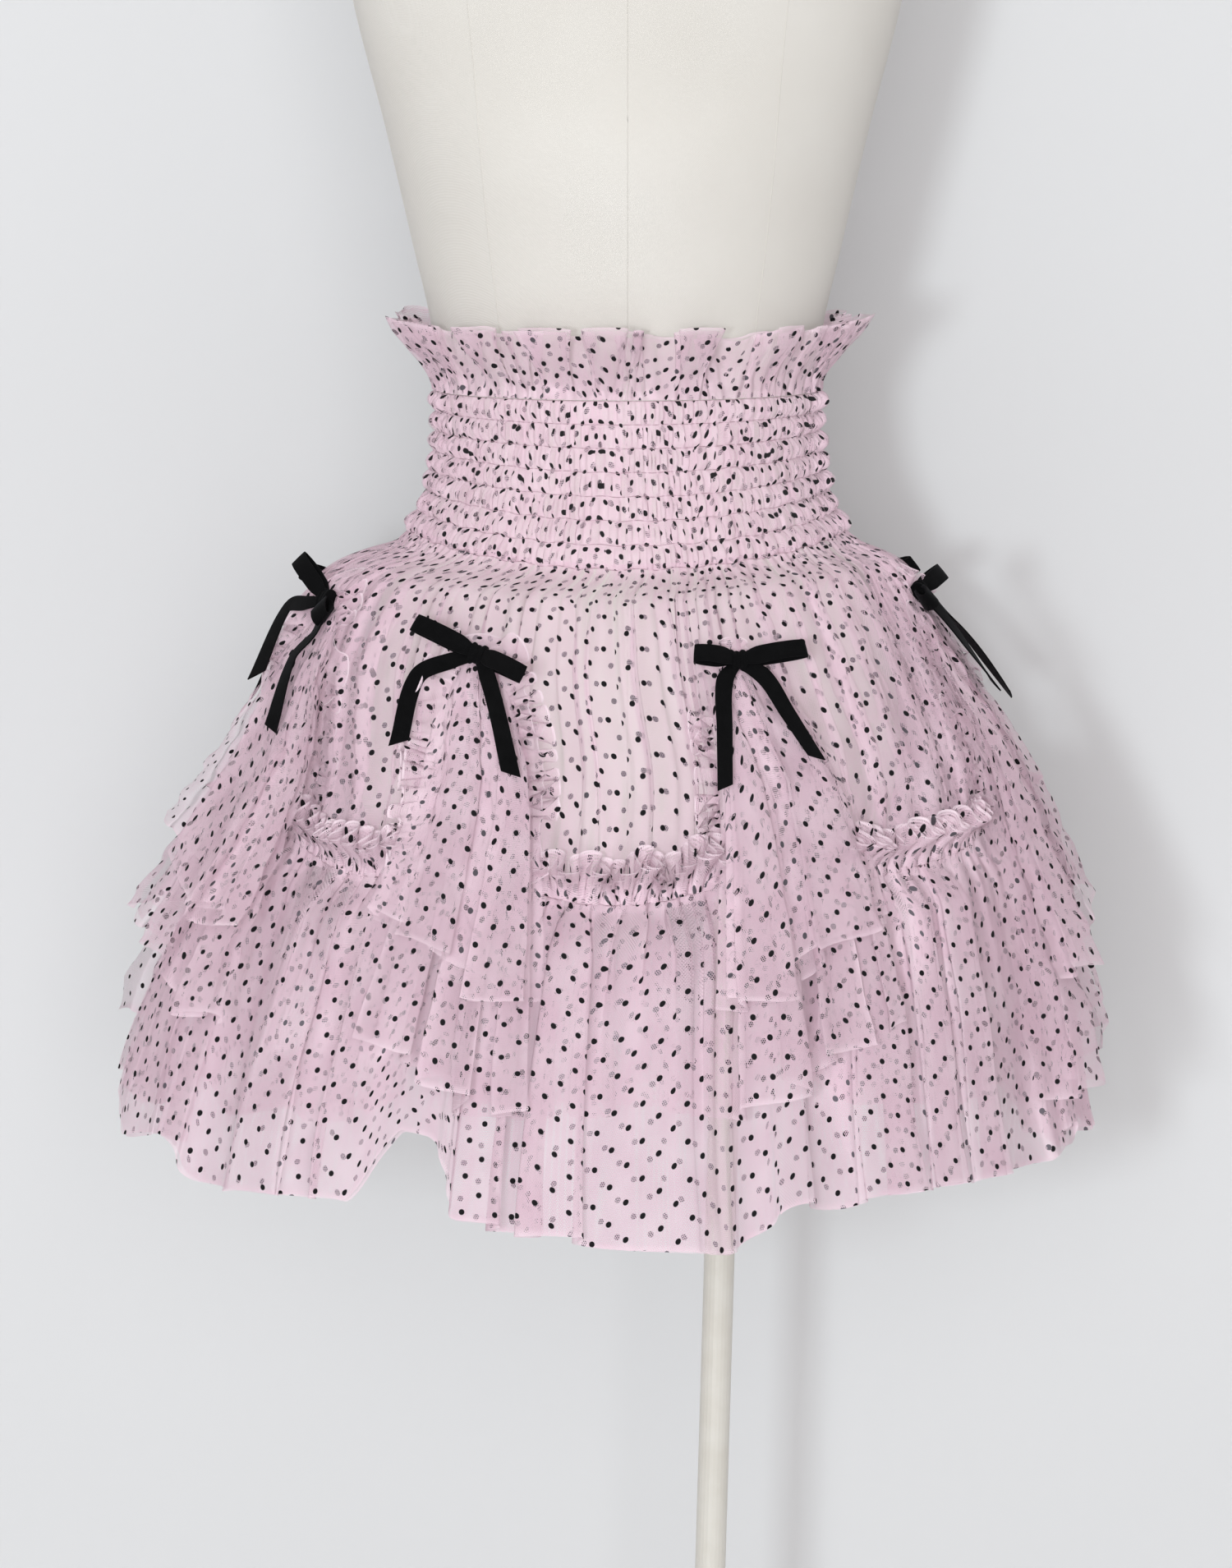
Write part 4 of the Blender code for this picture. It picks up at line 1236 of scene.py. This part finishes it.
# %% A loop
def add_loop(name, index, root, ways):
    """A loop of ribbon: out along a line and back, its two runs held apart by a sine that grows outwards."""
    right, up, outward = ways
    length, tilt, way = LOOPS[name][index]
    length = 1.08 * length
    slope = math.radians(tilt)
    along = unit(way * math.cos(slope) * right + math.sin(slope) * up + 0.30 * outward)
    across = unit(np.cross(along, outward))
    thick_way = np.cross(across, along)
    theta = np.linspace(0, 2 * math.pi, 64, endpoint=False)
    reach = (1 - np.cos(theta)) * length / 2
    share = reach / length
    bulge = np.sin(theta) * 0.0039 * (0.55 + 0.75 * share) * np.abs(np.sin(theta)) ** 0.25
    droop = -0.0022 * share**2
    twist = 0.35 * way * np.sin(theta) * (share - 0.3)
    middle = root + reach[:, None] * along + bulge[:, None] * thick_way + droop[:, None] * up
    turned = across * np.cos(twist)[:, None] + thick_way * np.sin(twist)[:, None]
    run = unit(np.roll(middle, -1, axis=0) - np.roll(middle, 1, axis=0))
    normal = np.cross(turned, run)
    half = RIBBON_WIDTH / 2 * (0.52 + 0.48 * ease(reach, 0.0, 0.013))
    mesh = ribbon_mesh(f"bow_{name}_loop_{index + 1}", middle, turned, normal, half, ring=True)
    loop = add_piece(mesh.name, mesh, velvet, [f"bow_{name}"])


# %% A tail
def add_tail(bow, index, root, ways, rng):
    """A tail of ribbon: a smooth curve from the knot over its bends, twisted along its length."""
    name, _, bow_height, drop, stands_out, _, _ = bow
    _, up, outward = ways
    places = [root - 0.001 * up]
    for side, down in TAILS[name][index]:
        height = bow_height - down
        fallen = max(down / drop, 0)
        lift = 0.0100 + stands_out * fallen**1.25 + 0.0100 * fallen**0.8
        places.append(bow_surface(bow, side, height, lift + 0.16 * max(abs(side) - 0.02, 0)))
    middle = smooth_path(places, 48)
    run = unit(np.gradient(middle, axis=0))
    t = np.linspace(0, 1, len(middle))
    across = unit(np.cross(run, outward))
    normal = np.cross(across, run)
    twist = (rng.uniform(-0.5, 0.5) * np.sin(math.pi * t) + rng.uniform(0.3, 0.8) * (t - 0.4))[:, None]
    turned = across * np.cos(twist) + normal * np.sin(twist)
    flat_normal = np.cross(turned, run)
    half = RIBBON_WIDTH / 2 * (0.55 + 0.42 * ease(t, 0.0, 0.22))
    cut = (0.3 if index else -0.3) * RIBBON_WIDTH
    mesh = ribbon_mesh(f"bow_{name}_tail_{index + 1}", middle, turned, flat_normal, half, cut=cut)
    tail = add_piece(mesh.name, mesh, velvet, [f"bow_{name}"])


# %% A knot, and the whole bow
def add_knot(name, root, ways, rng):
    """The knot: a short tube, flattened by powers of sine and cosine, narrow in the middle."""
    right, up, outward = ways
    theta = np.linspace(0, 2 * math.pi, 40, endpoint=False)[:, None]
    bend = np.linspace(-1, 1, 19)[None, :]
    waist = 1 - 0.16 * np.cos(math.pi * bend / 2) ** 2
    fold = 1 + 0.05 * np.cos(3 * math.pi * bend + 0.8)
    deep = 0.0043 * waist * fold * np.abs(np.sin(theta)) ** 0.8 * np.sign(np.sin(theta))
    tall = 0.0062 * waist * fold * np.abs(np.cos(theta)) ** 0.8 * np.sign(np.cos(theta))
    wide = 0.0046 * bend + 0 * theta
    shut = np.where(np.abs(bend) == 1, 0.72, 1.0)
    lean = rng.uniform(-0.25, 0.25)
    knot_right = unit(right * math.cos(lean) + up * math.sin(lean))
    knot_up = np.cross(outward, knot_right)
    points = (root + wide[..., None] * knot_right + (tall * shut)[..., None] * knot_up
              + (deep * shut)[..., None] * outward)
    mesh = new_mesh(f"bow_{name}_knot", points.reshape(-1, 3), tube_faces(40, 19, False))
    mesh.set_sharp_from_angle(angle=math.radians(50))
    add_piece(mesh.name, mesh, velvet, [f"bow_{name}"])


def add_bow(number, bow):
    """Two loops, two tails and the knot, which all start at one place over the cascade's top."""
    name, bow_angle, bow_height = bow[:3]
    ways = skirt_frame(bow_angle, bow_height)
    root = bow_surface(bow, 0.0, bow_height, 0.0) + ways[2] * KNOT_LIFT
    rng = np.random.default_rng(500 + number)
    for index in range(2):
        add_loop(name, index, root, ways)
    for index in range(2):
        add_tail(bow, index, root, ways, rng)
    add_knot(name, root, ways, rng)


# %% [markdown]
# ## Each bow with its cloth
# A bow is sewn over its cascade, and the frill lies between them, so the three are made together.

# %% Cascades, frills and bows
for bow_number, one_bow in enumerate(BOWS):
    add_cascade(bow_number, one_bow)
    add_arch_frill(bow_number, one_bow)
    add_bow(bow_number, one_bow)
print("bows:", len(BOWS), "; meshes in all:", len(bpy.data.meshes))
